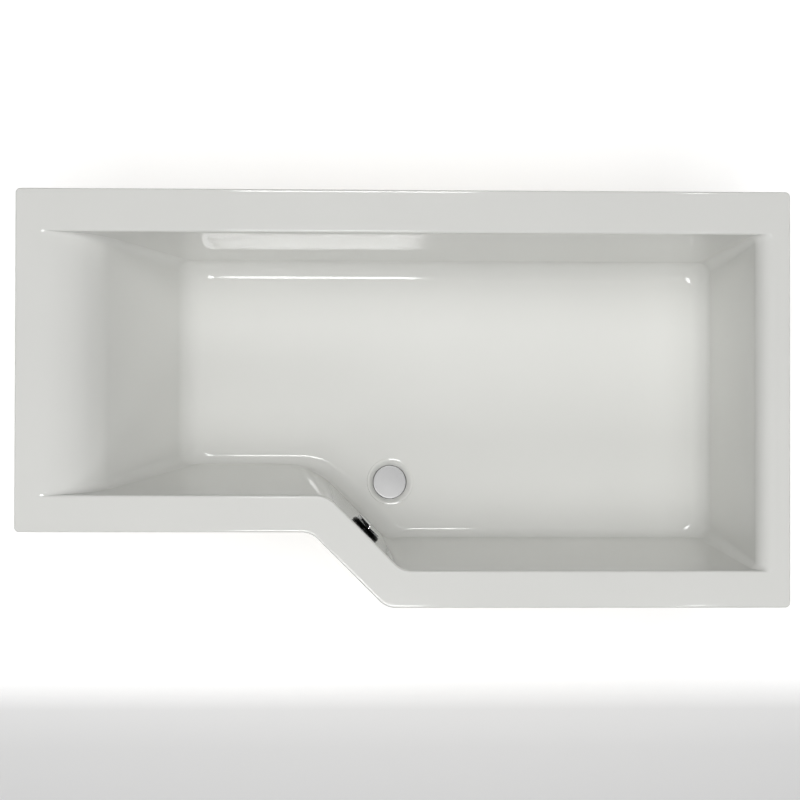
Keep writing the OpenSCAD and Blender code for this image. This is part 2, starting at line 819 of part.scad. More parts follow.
module foot_4() { foot(3); }
module foot_5() { foot(4); }
module leg_stud_1() { leg_stud(0); }
module leg_stud_2() { leg_stud(1); }
module leg_stud_3() { leg_stud(2); }
module leg_stud_4() { leg_stud(3); }
module leg_stud_5() { leg_stud(4); }

module hex_nut(at, z) {
    translate([at.x, at.y, z])
        difference() {
            cylinder(r = nut_flat_r, h = nut_t, $fn = 6);
            translate([0, 0, -through])
                cylinder(r = stud_r + run_fit, h = nut_t + 2 * through);
        }
}
module leg_lock_nuts() {
    color(zinc)
        for (i = [0:3]) {
            hex_nut(feet[i], board_z);
            hex_nut(feet[i], board_z - rail_t - nut_t);
        }
}

// ---- Wall brackets ----

module wall_bracket(x) {
    y = bath_w / 2;
    top = batten_z;
    color(zinc)
        translate([x - bracket_w / 2, 0, 0])
            difference() {
                rotate([90, 0, 90])
                    linear_extrude(bracket_w)
                        polygon([
                            [y, bracket_low_z],
                            [y, bracket_low_z - bracket_drop],
                            [y - bracket_t, bracket_low_z - bracket_drop],
                            [y - bracket_t, bracket_low_z - bracket_t],
                            [y - bracket_step - bracket_t, bracket_low_z - bracket_t],
                            [y - bracket_step - bracket_t, top - bracket_t],
                            [y - bracket_reach, top - bracket_t],
                            [y - bracket_reach, top],
                            [y - bracket_step, top],
                            [y - bracket_step, bracket_low_z]
                        ]);
                translate([bracket_w / 2, y + through, bracket_slot_z])
                    rotate([90, 0, 0])
                        bracket_slot();
                translate([bracket_w / 2, bracket_screw_y, top - bracket_t - through])
                    cylinder(r = screw_r + loose_fit, h = bracket_t + 2 * through);
            }
}
module bracket_slot() {
    depth = bracket_t + 2 * through;
    half = slot_l / 2 - slot_r;
    for (side = [-half, half])
        translate([side, 0, 0])
            cylinder(r = slot_r, h = depth);
    translate([-half, -slot_r, 0])
        cube([2 * half, 2 * slot_r, depth]);
}
module wall_bracket_left() { wall_bracket(-bracket_x); }
module wall_bracket_right() { wall_bracket(bracket_x); }

// ---- Waste ----

module at_waste(z) {
    translate([waste.x, waste.y, z])
        children();
}
module tube(outer, inner, height) {
    difference() {
        cylinder(r = outer, h = height);
        translate([0, 0, -through])
            cylinder(r = inner, h = height + 2 * through);
    }
}

guide_lift = 2;
guide_z = throat_z + guide_lift;
guide_t = 5;
guide_wall = 3;
guide_r = stem_r + guide_wall;
guide_arm_w = 4;
seal_edge = 1;
module waste_flange() {
    throat_bore = throat_r - throat_wall;
    color(chrome)
        union() {
            at_waste(flange_z)
                tube(flange_r, throat_bore, flange_t);
            at_waste(throat_z)
                tube(throat_r, throat_bore, flange_z - throat_z + eps);
        }
}
// Spider pressed into the flange's throat: it keeps the plug's stem upright.
module stem_guide() {
    color(white_plastic)
        at_waste(guide_z)
            difference() {
                union() {
                    cylinder(r = guide_r, h = guide_t);
                    intersection() {
                        cylinder(r = throat_r - throat_wall, h = guide_t);
                        for (a = [0:120:240])
                            rotate([0, 0, a])
                                translate([0, -guide_arm_w / 2, 0])
                                    cube([throat_r, guide_arm_w, guide_t]);
                    }
                }
                translate([0, 0, -through])
                    cylinder(r = stem_r + run_fit, h = guide_t + 2 * through);
            }
}
module waste_upper_seal() {
    color(rubber_black)
        at_waste(recess_z)
            tube(flange_r - seal_edge, waste_hole_r + seal_edge, upper_seal_t);
}
module waste_lower_seal() {
    color(rubber_black)
        at_waste(recess_under_z - lower_seal_t)
            tube(body_flange_r - seal_edge, waste_hole_r + seal_edge / 2, lower_seal_t);
}

housing_w = 16;
lever_side_gap = 1;
pocket_w = lever_w + 2 * lever_side_gap;
housing_wall = 3;
housing_top_z = body_top_z - body_flange_t;
housing_floor_gap = 5;
housing_z = lever_foot_z - housing_floor_gap - housing_wall;
sheath_wall = 3;
module at_lever() {
    at_waste(0)
        rotate([0, 0, lever_angle])
            children();
}
module waste_body() {
    color(white_plastic)
        difference() {
            union() {
                at_waste(body_top_z - body_flange_t)
                    cylinder(r = body_flange_r, h = body_flange_t);
                at_waste(barrel_floor_z)
                    cylinder(r = barrel_r + barrel_wall, h = body_top_z - barrel_floor_z);
                at_waste(outlet_top_z)
                    cylinder(r1 = outlet_r, r2 = barrel_r + barrel_wall, h = cone_h);
                at_waste(outlet_z)
                    cylinder(r = outlet_r, h = outlet_l + eps);
                at_waste(port_z)
                    rotate([0, 90, hose_angle]) {
                        cylinder(r = hose_r, h = port_end);
                        cylinder(r = tail_r, h = port_end + tail_l);
                    }
                at_lever() {
                    translate([barrel_r, -housing_w / 2, housing_z])
                        cube([housing_reach - barrel_r, housing_w, housing_top_z - housing_z + eps]);
                    translate([housing_reach - through, 0, cable_end.z])
                        rotate([0, 90, 0])
                            cylinder(r = cable_r + sheath_wall, h = cable_boss_l + through);
                }
            }
            at_waste(barrel_floor_z)
                cylinder(r = barrel_r, h = body_top_z - barrel_floor_z + through);
            at_waste(outlet_top_z)
                cylinder(r1 = outlet_bore_r, r2 = barrel_r, h = cone_h + eps);
            at_waste(outlet_z - through)
                cylinder(r = outlet_bore_r, h = outlet_l + 2 * through);
            at_waste(port_z)
                rotate([0, 90, hose_angle])
                    cylinder(r = tail_r - tail_wall, h = port_end + tail_l + through);
            at_lever() {
                translate([0, -pocket_w / 2, housing_z + housing_wall])
                    cube([housing_reach - housing_wall, pocket_w,
                        housing_top_z - housing_z - housing_wall]);
                translate([pin_reach, -housing_w, lever_pin_z])
                    rotate([-90, 0, 0])
                        cylinder(r = pin_r + run_fit, h = 2 * housing_w);
                translate([housing_reach - housing_wall - through, 0, cable_end.z])
                    rotate([0, 90, 0])
                        cylinder(r = cable_r / 2, h = housing_wall + cable_boss_l + 2 * through);
            }
        }
}

// Flat bar with round ends, in the plane of the lever's swing.
module arm(from, to, r0, r1) {
    d = to - from;
    side = [-d.y, d.x] / norm(d);
    rotate([90, 0, 0])
        translate([0, 0, -lever_w / 2])
            linear_extrude(lever_w) {
                translate(from)
                    circle(r = r0);
                translate(to)
                    circle(r = r1);
                polygon([from + side * r0, to + side * r1, to - side * r1, from - side * r0]);
            }
}
module lift_lever() {
    pivot = [pin_reach, lever_pin_z];
    tip = pivot - lever_in * [cos(lever_half_turn), sin(lever_half_turn)];
    toe = pivot + (lever_out - lever_tip_r) * [sin(lever_half_turn), -cos(lever_half_turn)];
    color(brass_gold)
        at_lever()
            difference() {
                union() {
                    arm(pivot, tip, lever_hub_r, lever_tip_r);
                    arm(pivot, toe, lever_hub_r, lever_tip_r);
                }
                translate([pivot.x, -lever_w, pivot.y])
                    rotate([-90, 0, 0])
                        cylinder(r = pin_r + run_fit, h = 2 * lever_w);
            }
}
module lever_pin() {
    color(zinc)
        at_lever()
            translate([pin_reach, -housing_w / 2, lever_pin_z])
                rotate([-90, 0, 0])
                    cylinder(r = pin_r, h = housing_w);
}

cap_boss_r = 7;
cap_boss_l = 6;
cap_edge = 0.8;
seal_w = 4;
seal_on_flange = 3;
seal_in_r = throat_r - throat_wall + seal_on_flange;
seal_out_r = seal_in_r + seal_w;
seal_sink = 1.2;
module plug_cap() {
    color(chrome)
        difference() {
            union() {
                at_waste(cap_z)
                    cylinder(r = cap_r, h = cap_t - cap_edge);
                at_waste(cap_z + cap_t - cap_edge)
                    cylinder(r1 = cap_r, r2 = cap_r - cap_edge, h = cap_edge);
                at_waste(cap_z - cap_boss_l)
                    cylinder(r = cap_boss_r, h = cap_boss_l + eps);
            }
            at_waste(cap_z - through)
                tube(seal_out_r, seal_in_r, seal_sink + through);
            at_waste(cap_z - cap_boss_l - through)
                cylinder(r = stem_r + run_fit, h = cap_boss_l + through + cap_t / 2);
        }
}
module plug_seal() {
    color(rubber_black)
        at_waste(flange_top_z + layer_gap)
            tube(seal_out_r - run_fit, seal_in_r + run_fit, cap_gap + seal_sink - layer_gap);
}
stem_tip_r = 1;
stem_tip_l = 3;
module plug_stem() {
    length = cap_z + cap_t / 2 - stem_z;
    color(brass_gold)
        at_waste(stem_z)
            rotate_extrude()
                polygon([
                    [0, 0], [stem_tip_r, 0], [stem_r, stem_tip_l], [stem_r, length], [0, length]
                ]);
}

// ---- Trap ----

trap_lip_t = 4;
inlet_seal_t = 2;
trap_lip_w = 2;
trap_lip_r = trap_r + trap_lip_w;
trap_top_z = outlet_z - inlet_seal_t;
trap_neck = 14;
bend_z = trap_top_z - trap_lip_t - trap_neck;
trap_out_z = bend_z + bend_r;
trap_out_y = 3 * bend_r;
trap_run = 14;
socket_l = 26;
socket_wall = 4;
socket_r = pipe_bore_r + socket_wall;
cleaning_r = 13;
cleaning_cap_r = 16;
cleaning_neck = 3;
cleaning_z = bend_z - bend_r - trap_r - cleaning_neck;
cleaning_cap_t = 6;

// Pipe of radius r along the trap's line; over is how far its ends run on.
module trap_line(r, over) {
    translate([0, 0, bend_z])
        cylinder(r = r, h = trap_top_z - bend_z + over);
    translate([0, bend_r, bend_z])
        rotate([90, 0, 90])
            rotate([0, 0, 180])
                rotate_extrude(angle = 180)
                    translate([bend_r, 0])
                        circle(r = r);
    translate([0, trap_out_y, bend_z])
        rotate([90, 0, 90])
            rotate([0, 0, 90])
                rotate_extrude(angle = 90)
                    translate([bend_r, 0])
                        circle(r = r);
    translate([0, trap_out_y - eps, trap_out_z])
        rotate([-90, 0, 0])
            cylinder(r = r, h = trap_run + eps);
}
module trap_body() {
    color(white_plastic)
        at_waste(0)
            difference() {
                union() {
                    trap_line(trap_r, 0);
                    translate([0, 0, trap_top_z - trap_lip_t])
                        cylinder(r = trap_lip_r, h = trap_lip_t);
                    translate([0, trap_out_y + trap_run, trap_out_z])
                        rotate([-90, 0, 0])
                            cylinder(r = socket_r, h = socket_l);
                    translate([0, bend_r, cleaning_z])
                        cylinder(r = cleaning_r, h = trap_r);
                }
                trap_line(trap_r - trap_wall, through);
                translate([0, trap_out_y + trap_run, trap_out_z])
                    rotate([-90, 0, 0])
                        cylinder(r = pipe_bore_r, h = socket_l + through);
                translate([0, bend_r, cleaning_z - through])
                    cylinder(r = cleaning_r - trap_wall, h = trap_r);
            }
}
module trap_cleaning_cap() {
    color(white_plastic)
        at_waste(cleaning_z - cleaning_cap_t / 2)
            translate([0, bend_r, 0])
                difference() {
                    cylinder(r = cleaning_cap_r, h = cleaning_cap_t);
                    translate([0, 0, cleaning_cap_t / 2])
                        cylinder(r = cleaning_r + run_fit, h = cleaning_cap_t);
                }
}
module trap_inlet_seal() {
    color(rubber_black)
        at_waste(trap_top_z)
            tube(outlet_r - 0.2, outlet_bore_r, inlet_seal_t);
}
// Ring nut with ribs for the fingers, its back at the origin.
nut_ribs = 16;
nut_rib_h = 1.5;
nut_rib_sunk = 1;
nut_rib_w = 2;
module ribbed_nut(outer, height) {
    cylinder(r = outer - nut_rib_h, h = height);
    for (i = [0:nut_ribs - 1])
        rotate([0, 0, 360 * i / nut_ribs])
            translate([outer - nut_rib_h - nut_rib_sunk, -nut_rib_w / 2, 0])
                cube([nut_rib_h + nut_rib_sunk, nut_rib_w, height]);
}
inlet_nut_l = 22;
inlet_nut_wall = 5.5;
inlet_nut_r = trap_lip_r + inlet_nut_wall;
inlet_nut_back = 5;
inlet_nut_z = trap_top_z - trap_lip_t - inlet_nut_back;
module trap_inlet_nut() {
    color(white_plastic)
        at_waste(inlet_nut_z)
            difference() {
                ribbed_nut(inlet_nut_r, inlet_nut_l);
                translate([0, 0, -through])
                    cylinder(r = trap_r + loose_fit, h = inlet_nut_l);
                translate([0, 0, inlet_nut_back - layer_gap])
                    cylinder(r = trap_lip_r + loose_fit, h = trap_lip_t + inlet_seal_t + layer_gap);
                translate([0, 0, trap_lip_t + inlet_seal_t])
                    cylinder(r = outlet_r + run_fit, h = inlet_nut_l);
            }
}
outlet_seal_t = 3;
outlet_nut_l = 18;
outlet_nut_wall = 5;
outlet_nut_r = socket_r + outlet_nut_wall;
outlet_nut_face = 3;
seal_bore_gap = 0.2;
module at_trap_outlet() {
    at_waste(0)
        translate([0, trap_out_y + trap_run + socket_l, trap_out_z])
            rotate([-90, 0, 0])
                children();
}
module trap_outlet_seal() {
    color(rubber_black)
        at_trap_outlet()
            tube(socket_r - loose_fit, pipe_bore_r + seal_bore_gap, outlet_seal_t);
}
module trap_outlet_nut() {
    color(white_plastic)
        at_trap_outlet()
            translate([0, 0, outlet_seal_t + outlet_nut_face - outlet_nut_l])
                difference() {
                    ribbed_nut(outlet_nut_r, outlet_nut_l);
                    translate([0, 0, -through])
                        cylinder(r = pipe_bore_r + 2 * seal_bore_gap,
                            h = outlet_nut_l + 2 * through);
                    translate([0, 0, -through])
                        cylinder(r = socket_r + run_fit,
                            h = outlet_nut_l - outlet_nut_face + through);
                }
}

// ---- Overflow ----

fixing_inset = 3;
screw_ring_r = cup_r - cup_wall - fixing_inset;
fixing_r = 1.6;
fixing_head_r = 3;
fixing_head_t = 1.4;
fixing_lug_r = 4;
fixing_lug_l = 8;
bezel_face_t = 2.7;
bezel_edge = 3;
bezel_slot_w = 6;
bezel_slot_z = 2;
skirt_wall = 2.5;
module at_fixings(z) {
    for (a = [90, 270])
        rotate([0, 0, a])
            translate([screw_ring_r, 0, z])
                children();
}
module overflow_bezel() {
    skirt_r = overflow_hole_r - 1;
    skirt_l = wall_out - 1;
    color(chrome)
        at_overflow()
            difference() {
                union() {
                    translate([0, 0, layer_gap])
                        rotate_extrude()
                            polygon([
                                [0, 0], [bezel_r, 0], [bezel_r, bezel_t - bezel_edge],
                                [bezel_r - bezel_edge / 3, bezel_t - bezel_edge / 3],
                                [bezel_r - bezel_edge, bezel_t - layer_gap],
                                [0, bezel_t - layer_gap]
                            ]);
                    translate([0, 0, -skirt_l])
                        cylinder(r = skirt_r, h = skirt_l + through);
                }
                translate([0, 0, -skirt_l - through])
                    cylinder(r = skirt_r - skirt_wall,
                        h = skirt_l + bezel_t - bezel_face_t + through);
                translate([0, 0, -through])
                    cylinder(r = spindle_r + 3 * loose_fit, h = bezel_t + 2 * through);
                for (a = [-60:30:60])
                    rotate([0, 0, a])
                        translate([0, -bezel_slot_w / 2, bezel_slot_z])
                            cube([bezel_r + through, bezel_slot_w,
                                bezel_t - bezel_edge - bezel_slot_z]);
                at_fixings(0)
                    cylinder(r = fixing_r + loose_fit, h = bezel_t + through);
                at_fixings(bezel_t - layer_gap - fixing_head_t)
                    cylinder(r = fixing_head_r + loose_fit, h = bezel_t);
            }
}
knob_edge = 1;
module knob_disc(height) {
    rotate_extrude()
        polygon([
            [0, 0], [knob_r - knob_edge / 2, 0], [knob_r, knob_edge / 2],
            [knob_r, height - knob_edge], [knob_r - knob_edge, height], [0, height]
        ]);
}
// Disc whose raised half-moon is the grip.
module overflow_knob() {
    z0 = bezel_t + layer_gap;
    color(chrome)
        at_overflow()
            translate([0, 0, z0])
                difference() {
                    union() {
                        knob_disc(knob_t);
                        intersection() {
                            knob_disc(knob_t + grip_h);
                            translate([-knob_r, knob_r - grip_w, 0])
                                cube([2 * knob_r, grip_w, knob_t + grip_h]);
                        }
                    }
                    translate([0, 0, -through])
                        cylinder(r = spindle_r + run_fit, h = through + knob_t - knob_skin);
                }
}
module knob_spindle() {
    top = bezel_t + knob_t - knob_skin;
    color(brass_gold)
        at_overflow()
            union() {
                translate([0, 0, drum_z])
                    cylinder(r = spindle_r, h = top - drum_z);
                translate([0, 0, drum_z])
                    cylinder(r = drum_r, h = drum_flange_t);
                translate([0, 0, drum_z])
                    cylinder(r = max(groove_r, spindle_r), h = drum_t);
                translate([0, 0, drum_z + drum_t - drum_flange_t])
                    cylinder(r = drum_r, h = drum_flange_t);
            }
}
module overflow_gasket() {
    color(rubber_black)
        at_overflow()
            translate([0, 0, gasket_z])
                tube(cup_flange_r, overflow_hole_r + loose_fit, gasket_t);
}
module overflow_body() {
    color(white_plastic)
        at_overflow()
            difference() {
                union() {
                    translate([0, 0, cup_flange_z])
                        cylinder(r = cup_flange_r, h = cup_flange_t);
                    translate([0, 0, cup_back_z])
                        cylinder(r = cup_r, h = cup_depth + eps);
                    translate([0, 0, cup_back_z - boss_l])
                        cylinder(r = boss_r, h = boss_l + eps);
                    translate([0, 0, spout_z])
                        rotate([0, 90, 0]) {
                            cylinder(r = hose_r, h = spout_x);
                            cylinder(r = tail_r, h = spout_x + tail_l);
                        }
                    translate([clip_x, groove_r - clip_w / 2, drum_z - clip_foot])
                        cube([clip_l, clip_w, cup_back_z - drum_z + cup_wall + clip_foot]);
                    translate([cup_r - clip_l, groove_r - clip_w / 2, cup_back_z])
                        cube([clip_x + 2 * clip_l - cup_r, clip_w, cup_wall]);
                }
                difference() {
                    translate([0, 0, cup_back_z + cup_wall])
                        cylinder(r = cup_r - cup_wall, h = cup_depth + cup_flange_t);
                    at_fixings(cup_flange_z + cup_flange_t - fixing_lug_l)
                        cylinder(r = fixing_lug_r, h = fixing_lug_l);
                }
                translate([0, 0, cup_back_z - boss_l - through])
                    cylinder(r = spindle_r + run_fit, h = boss_l + cup_wall + 2 * through);
                translate([0, 0, spout_z])
                    rotate([0, 90, 0])
                        cylinder(r = tail_r - tail_wall, h = spout_x + tail_l + through);
                translate([clip_x - through, groove_r, cable_mid_z])
                    rotate([0, 90, 0])
                        cylinder(r = cable_r / 2, h = clip_l + 2 * through);
                at_fixings(cup_flange_z + cup_flange_t - fixing_lug_l - through)
                    cylinder(r = fixing_r + run_fit, h = fixing_lug_l + 2 * through);
            }
}
module overflow_screws() {
    color(zinc)
        at_overflow() {
            at_fixings(cup_flange_z + cup_flange_t - fixing_lug_l)
                cylinder(r = fixing_r, h = bezel_t - cup_flange_z - cup_flange_t + fixing_lug_l
                    - layer_gap - fixing_head_t);
            at_fixings(bezel_t - layer_gap - fixing_head_t)
                cylinder(r = fixing_head_r, h = fixing_head_t);
        }
}

module overflow_hose() {
    ribs = [
        for (i = [0:rib_count - 1])
            for (part = [[0, 0], [0.5, rib_groove]])
                let (s = (i + part[0] + rib_flat / 2) * rib_step)
                [s, hose_r - part[1]]
    ];
    outer = concat([[0, hose_r]], ribs, [[hose_l, hose_r]]);
    inner = [for (i = [bore_rings - 1:-1:0]) [hose_l * i / (bore_rings - 1), hose_bore_r]];
    path = concat(outer, inner);
    h = rib_flat;
    rings = [
        for (q = path)
            let (s0 = max(0, q[0] - h), s1 = min(hose_l, q[0] + h))
            let (p0 = point_at(hose_line, hose_lengths, s0))
            let (p1 = point_at(hose_line, hose_lengths, s1))
            tube_ring(point_at(hose_line, hose_lengths, q[0]), direction(p1 - p0),
                hose_side, q[1], hose_sides)
    ];
    total = len(rings);
    color(white_plastic)
        polyhedron(
            [for (r = rings) each r],
            [for (i = [0:total - 1])
                each strip(i * hose_sides, ((i + 1) % total) * hose_sides, hose_sides)],
            convexity = 10
        );
}
module hose_nut_upper() {
    color(black_plastic)
        at_overflow()
            translate([spout_x + layer_gap, 0, spout_z])
                rotate([0, 90, 0])
                    tube(hose_r + nut_wall, hose_r + loose_fit, nut_l);
}
module hose_nut_lower() {
    color(black_plastic)
        at_waste(port_z)
            rotate([0, 90, hose_angle])
                translate([0, 0, port_end + layer_gap])
                    tube(hose_r + nut_wall, hose_r + loose_fit, nut_l);
}
module control_cable() {
    count = 8;
    total = len(cable_line);
    rings = [
        for (i = [0:total - 1])
            let (d = direction(cable_line[min(total - 1, i + 1)] - cable_line[max(0, i - 1)]))
            tube_ring(cable_line[i], d, cable_side, cable_r, count)
    ];
    ring_ids = [for (k = [0:count - 1]) k];
    color(black_plastic)
        polyhedron(
            [for (r = rings) each r],
            concat(
                [for (i = [0:total - 2]) each strip(i * count, (i + 1) * count, count)],
                [ring_ids],
                [[for (k = ring_ids) total * count - 1 - k]]
            ),
            convexity = 10
        );
}

bath_shell();
fibreglass_backing();
baseboard();
batten_left();
batten_front_narrow();
batten_splay();
batten_front_wide();
batten_right();
batten_back();
leg_rail_left();
leg_rail_right();
centre_leg_plate();
foot_1();
foot_2();
foot_3();
foot_4();
foot_5();
leg_stud_1();
leg_stud_2();
leg_stud_3();
leg_stud_4();
leg_stud_5();
leg_lock_nuts();
rail_screws();
centre_plate_screws();
wall_bracket_left();
wall_bracket_right();
bracket_screws();
waste_flange();
stem_guide();
waste_upper_seal();
waste_lower_seal();
waste_body();
plug_cap();
plug_seal();
plug_stem();
lift_lever();
lever_pin();
trap_inlet_seal();
trap_inlet_nut();
trap_body();
trap_cleaning_cap();
trap_outlet_seal();
trap_outlet_nut();
overflow_bezel();
overflow_knob();
knob_spindle();
overflow_gasket();
overflow_body();
overflow_screws();
overflow_hose();
hose_nut_upper();
hose_nut_lower();
control_cable();
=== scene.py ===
"""Looks of a square-cut P shaped shower bath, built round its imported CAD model.

Everything is in metres, in the CAD model's own frame: X runs along the bath,
+Y points to the wall behind it and +Z is up from the floor.
"""

import logging
import math
from dataclasses import dataclass, replace
from enum import Enum, IntEnum
from typing import Sequence

import bmesh
import bpy
from mathutils import Matrix, Vector, noise


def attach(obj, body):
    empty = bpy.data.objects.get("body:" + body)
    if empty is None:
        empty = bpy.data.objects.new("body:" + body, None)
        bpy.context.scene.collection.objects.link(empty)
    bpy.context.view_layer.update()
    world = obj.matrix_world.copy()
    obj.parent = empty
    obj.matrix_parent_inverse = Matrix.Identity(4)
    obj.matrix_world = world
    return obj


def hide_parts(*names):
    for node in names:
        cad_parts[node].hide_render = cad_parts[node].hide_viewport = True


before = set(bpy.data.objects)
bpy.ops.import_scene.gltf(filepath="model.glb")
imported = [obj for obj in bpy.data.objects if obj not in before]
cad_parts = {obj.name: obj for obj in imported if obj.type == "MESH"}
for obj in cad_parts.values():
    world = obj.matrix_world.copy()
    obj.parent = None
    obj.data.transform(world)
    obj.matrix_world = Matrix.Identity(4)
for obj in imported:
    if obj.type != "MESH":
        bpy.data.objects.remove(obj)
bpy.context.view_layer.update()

LOG = logging.getLogger("shower_bath")
SPLAY_LEAN_DEG = 2.8
WASTE_AT = (-0.018, -0.179)
SAME_POINT = 1e-6
NOISE_LOW, NOISE_HIGH = 0.3, 0.7
Pair = tuple[float, float]
Triple = tuple[float, float, float]
Ring = list[Vector]
Piece = bpy.types.Object
Material = bpy.types.Material
Socket = bpy.types.NodeSocket


class Body(Enum):
    """The CAD bodies that new pieces ride on, the feet in the order of their numbers."""

    BATH = "bath"
    KNOB = "knob"
    PLUG = "plug"
    FOOT_1 = "foot_front_left"
    FOOT_2 = "foot_back_left"
    FOOT_3 = "foot_front_right"
    FOOT_4 = "foot_back_right"
    FOOT_5 = "foot_centre"


class Side(IntEnum):
    """Sides of the outline, counter-clockwise from the lounging end."""

    LEFT = 0
    NARROW_FRONT = 1
    SPLAY = 2
    WIDE_FRONT = 3
    RIGHT = 4
    BACK = 5


# ---------------------------------------------------------------- workshop


def deselect() -> None:
    """Deselects every object."""
    bpy.ops.object.select_all(action="DESELECT")


def pick(piece: Piece) -> None:
    """Selects one piece alone and makes it active."""
    deselect()
    piece.select_set(True)
    bpy.context.view_layer.objects.active = piece


def clamp(value: float) -> float:
    """Keeps a value between 0 and 1."""
    return max(0.0, min(1.0, value))


def heading(angle_deg: float) -> Pair:
    """Cosine and sine of an angle."""
    return math.cos(math.radians(angle_deg)), math.sin(math.radians(angle_deg))


def start_piece(name: str) -> Piece:
    """Names the primitive that was just added, and opens its mesh for editing.

    Args:
        name: The piece's name.

    Returns:
        The piece, in edit mode.
    """
    piece = bpy.context.object
    piece.name = piece.data.name = name
    bpy.ops.object.mode_set(mode="EDIT")
    return piece


def close_piece(piece: Piece, smooth_deg: float = 35.0) -> Piece:
    """Leaves edit mode and shades a piece smooth up to an angle.

    Args:
        piece: The piece, in either mode.
        smooth_deg: Edges sharper than this stay sharp.

    Returns:
        The same piece.
    """
    if bpy.context.mode != "OBJECT":
        bpy.ops.object.mode_set(mode="OBJECT")
    pick(piece)
    bpy.ops.object.shade_smooth_by_angle(angle=math.radians(smooth_deg))
    return piece


def apply_modifier(piece: Piece, kind: str, **values: object) -> None:
    """Adds one modifier and applies it at once.

    Args:
        piece: The piece that it changes.
        kind: Blender's name of the modifier's type.
        values: The modifier's own settings.
    """
    modifier = piece.modifiers.new(kind.title(), kind)
    for key, value in values.items():
        setattr(modifier, key, value)
    pick(piece)
    bpy.ops.object.modifier_apply(modifier=modifier.name)


def seal_mesh() -> None:
    """Fills the open ends of the mesh in edit mode and turns its faces outward."""
    bpy.ops.mesh.select_all(action="SELECT")
    bpy.ops.mesh.fill_holes(sides=0)
    bpy.ops.mesh.select_all(action="SELECT")
    bpy.ops.mesh.normals_make_consistent(inside=False)


def loft(name: str, rings: Sequence[Ring], joined_ends: bool = False) -> Piece:
    """Wraps a grid into a skin over closed rings of equally many points.

    Args:
        name: The piece's name.
        rings: The rings, in order.
        joined_ends: True where the last ring meets the first, as on a hose with a bore.

    Returns:
        The closed piece, in object mode.
    """
    across = len(rings[0])
    rows = list(rings) + ([rings[0]] if joined_ends else [])
    deselect()
    bpy.ops.mesh.primitive_grid_add(x_subdivisions=across, y_subdivisions=len(rows) - 1)
    piece = start_piece(name)
    mesh = bmesh.from_edit_mesh(piece.data)
    mesh.verts.ensure_lookup_table()
    for row, ring in enumerate(rows):
        for column in range(across + 1):
            mesh.verts[row * (across + 1) + column].co = ring[column % across]
    bmesh.update_edit_mesh(piece.data)
    bpy.ops.mesh.select_all(action="SELECT")
    bpy.ops.mesh.remove_doubles(threshold=SAME_POINT)
    seal_mesh()
    bpy.ops.object.mode_set(mode="OBJECT")
    return piece


def circle(radius: float, z: float, steps: int, middle: Sequence[float] = (0, 0)) -> Ring:
    """A level ring of points round a middle in plan."""
    turns = [math.tau * i / steps for i in range(steps)]
    return [Vector((middle[0] + radius * math.cos(a), middle[1] + radius * math.sin(a), z)) for a in turns]


def lathe(name: str, profile: Sequence[Pair], steps: int = 96) -> Piece:
    """Turns a profile round the Z axis.

    Args:
        name: The piece's name.
        profile: Radius and height of each point, in metres, from one end to the other.
        steps: Points round the axis.

    Returns:
        The closed piece, in object mode.
    """
    return loft(name, [circle(r, z, steps) for r, z in profile])


def rounded(corners: Sequence[Triple], steps: int = 5) -> list[Pair]:
    """Rounds the corners of an open profile.

    Args:
        corners: Two coordinates and a rounding radius for each corner.
        steps: Points on each rounding.

    Returns:
        The profile's points.
    """
    points = []
    for i, (x, y, radius) in enumerate(corners):
        here = Vector((x, y))
        if radius <= 0 or i in (0, len(corners) - 1):
            points.append((x, y))
            continue
        before = (Vector(corners[i - 1][:2]) - here).normalized()
        after = (Vector(corners[i + 1][:2]) - here).normalized()
        half = math.acos(max(-1.0, min(1.0, before.dot(after)))) / 2
        centre = here + (before + after).normalized() * radius / math.sin(half)
        start = here + before * radius / math.tan(half) - centre
        end = here + after * radius / math.tan(half) - centre
        sweep = start.angle_signed(end)
        for step in range(steps + 1):
            spoke = start.copy()
            spoke.rotate(Matrix.Rotation(-sweep * step / steps, 2))
            points.append(tuple(centre + spoke))
    return points


def cut(piece: Piece, tools: Sequence[Piece], how: str = "DIFFERENCE") -> None:
    """Cuts tools out of a piece, or joins them to it, and removes the tools.

    Args:
        piece: The piece that changes.
        tools: Closed shapes.
        how: The boolean's operation.
    """
    for tool in tools:
        apply_modifier(piece, "BOOLEAN", operation=how, solver="EXACT", object=tool)
        bpy.data.objects.remove(tool)


def place(piece: Piece, matrix: Matrix) -> Piece:
    """Moves a piece's mesh, so that its object stays at the origin."""
    piece.data.transform(matrix)
    piece.data.update()
    return piece


def paint_dark_band(piece: Piece, material: Material, axis: Vector, span: Pair, beyond: float = 0.0) -> None:
    """Gives the bevelled faces of a turned piece a second, dark material, as painted shade and painted dark
    reflection on its edges.

    Args:
        piece: The piece, with its first material in place.
        material: The second material.
        axis: Unit vector along the turned piece's axis.
        span: Least and greatest share of the axis in the faces' normals.
        beyond: Only faces at least this far out from the piece's middle.
    """
    middle = sum((v.co for v in piece.data.vertices), Vector()) / len(piece.data.vertices)
    piece.data.materials.append(material)
    for face in piece.data.polygons:
        out = face.center - middle
        far = (out - axis * out.dot(axis)).length
        if span[0] < face.normal.dot(axis) < span[1] and far >= beyond:
            face.material_index = 1


def finish_piece(
    piece: Piece, body: Body, material: Material, replaces: Sequence[str]
) -> Piece:
    """Dresses a piece, puts it on its body and hides the CAD nodes that it stands for.

    Args:
        piece: The finished mesh.
        body: The body that it moves with.
        material: Its material.
        replaces: The CAD nodes that it stands for.

    Returns:
        The same piece.
    """
    piece.data.materials.clear()
    piece.data.materials.append(material)
    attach(piece, body.value)
    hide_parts(*replaces)
    LOG.info("%s: %d faces, rides on %s", piece.name, len(piece.data.polygons), body.value)
    return piece


# ---------------------------------------------------------------- finishes


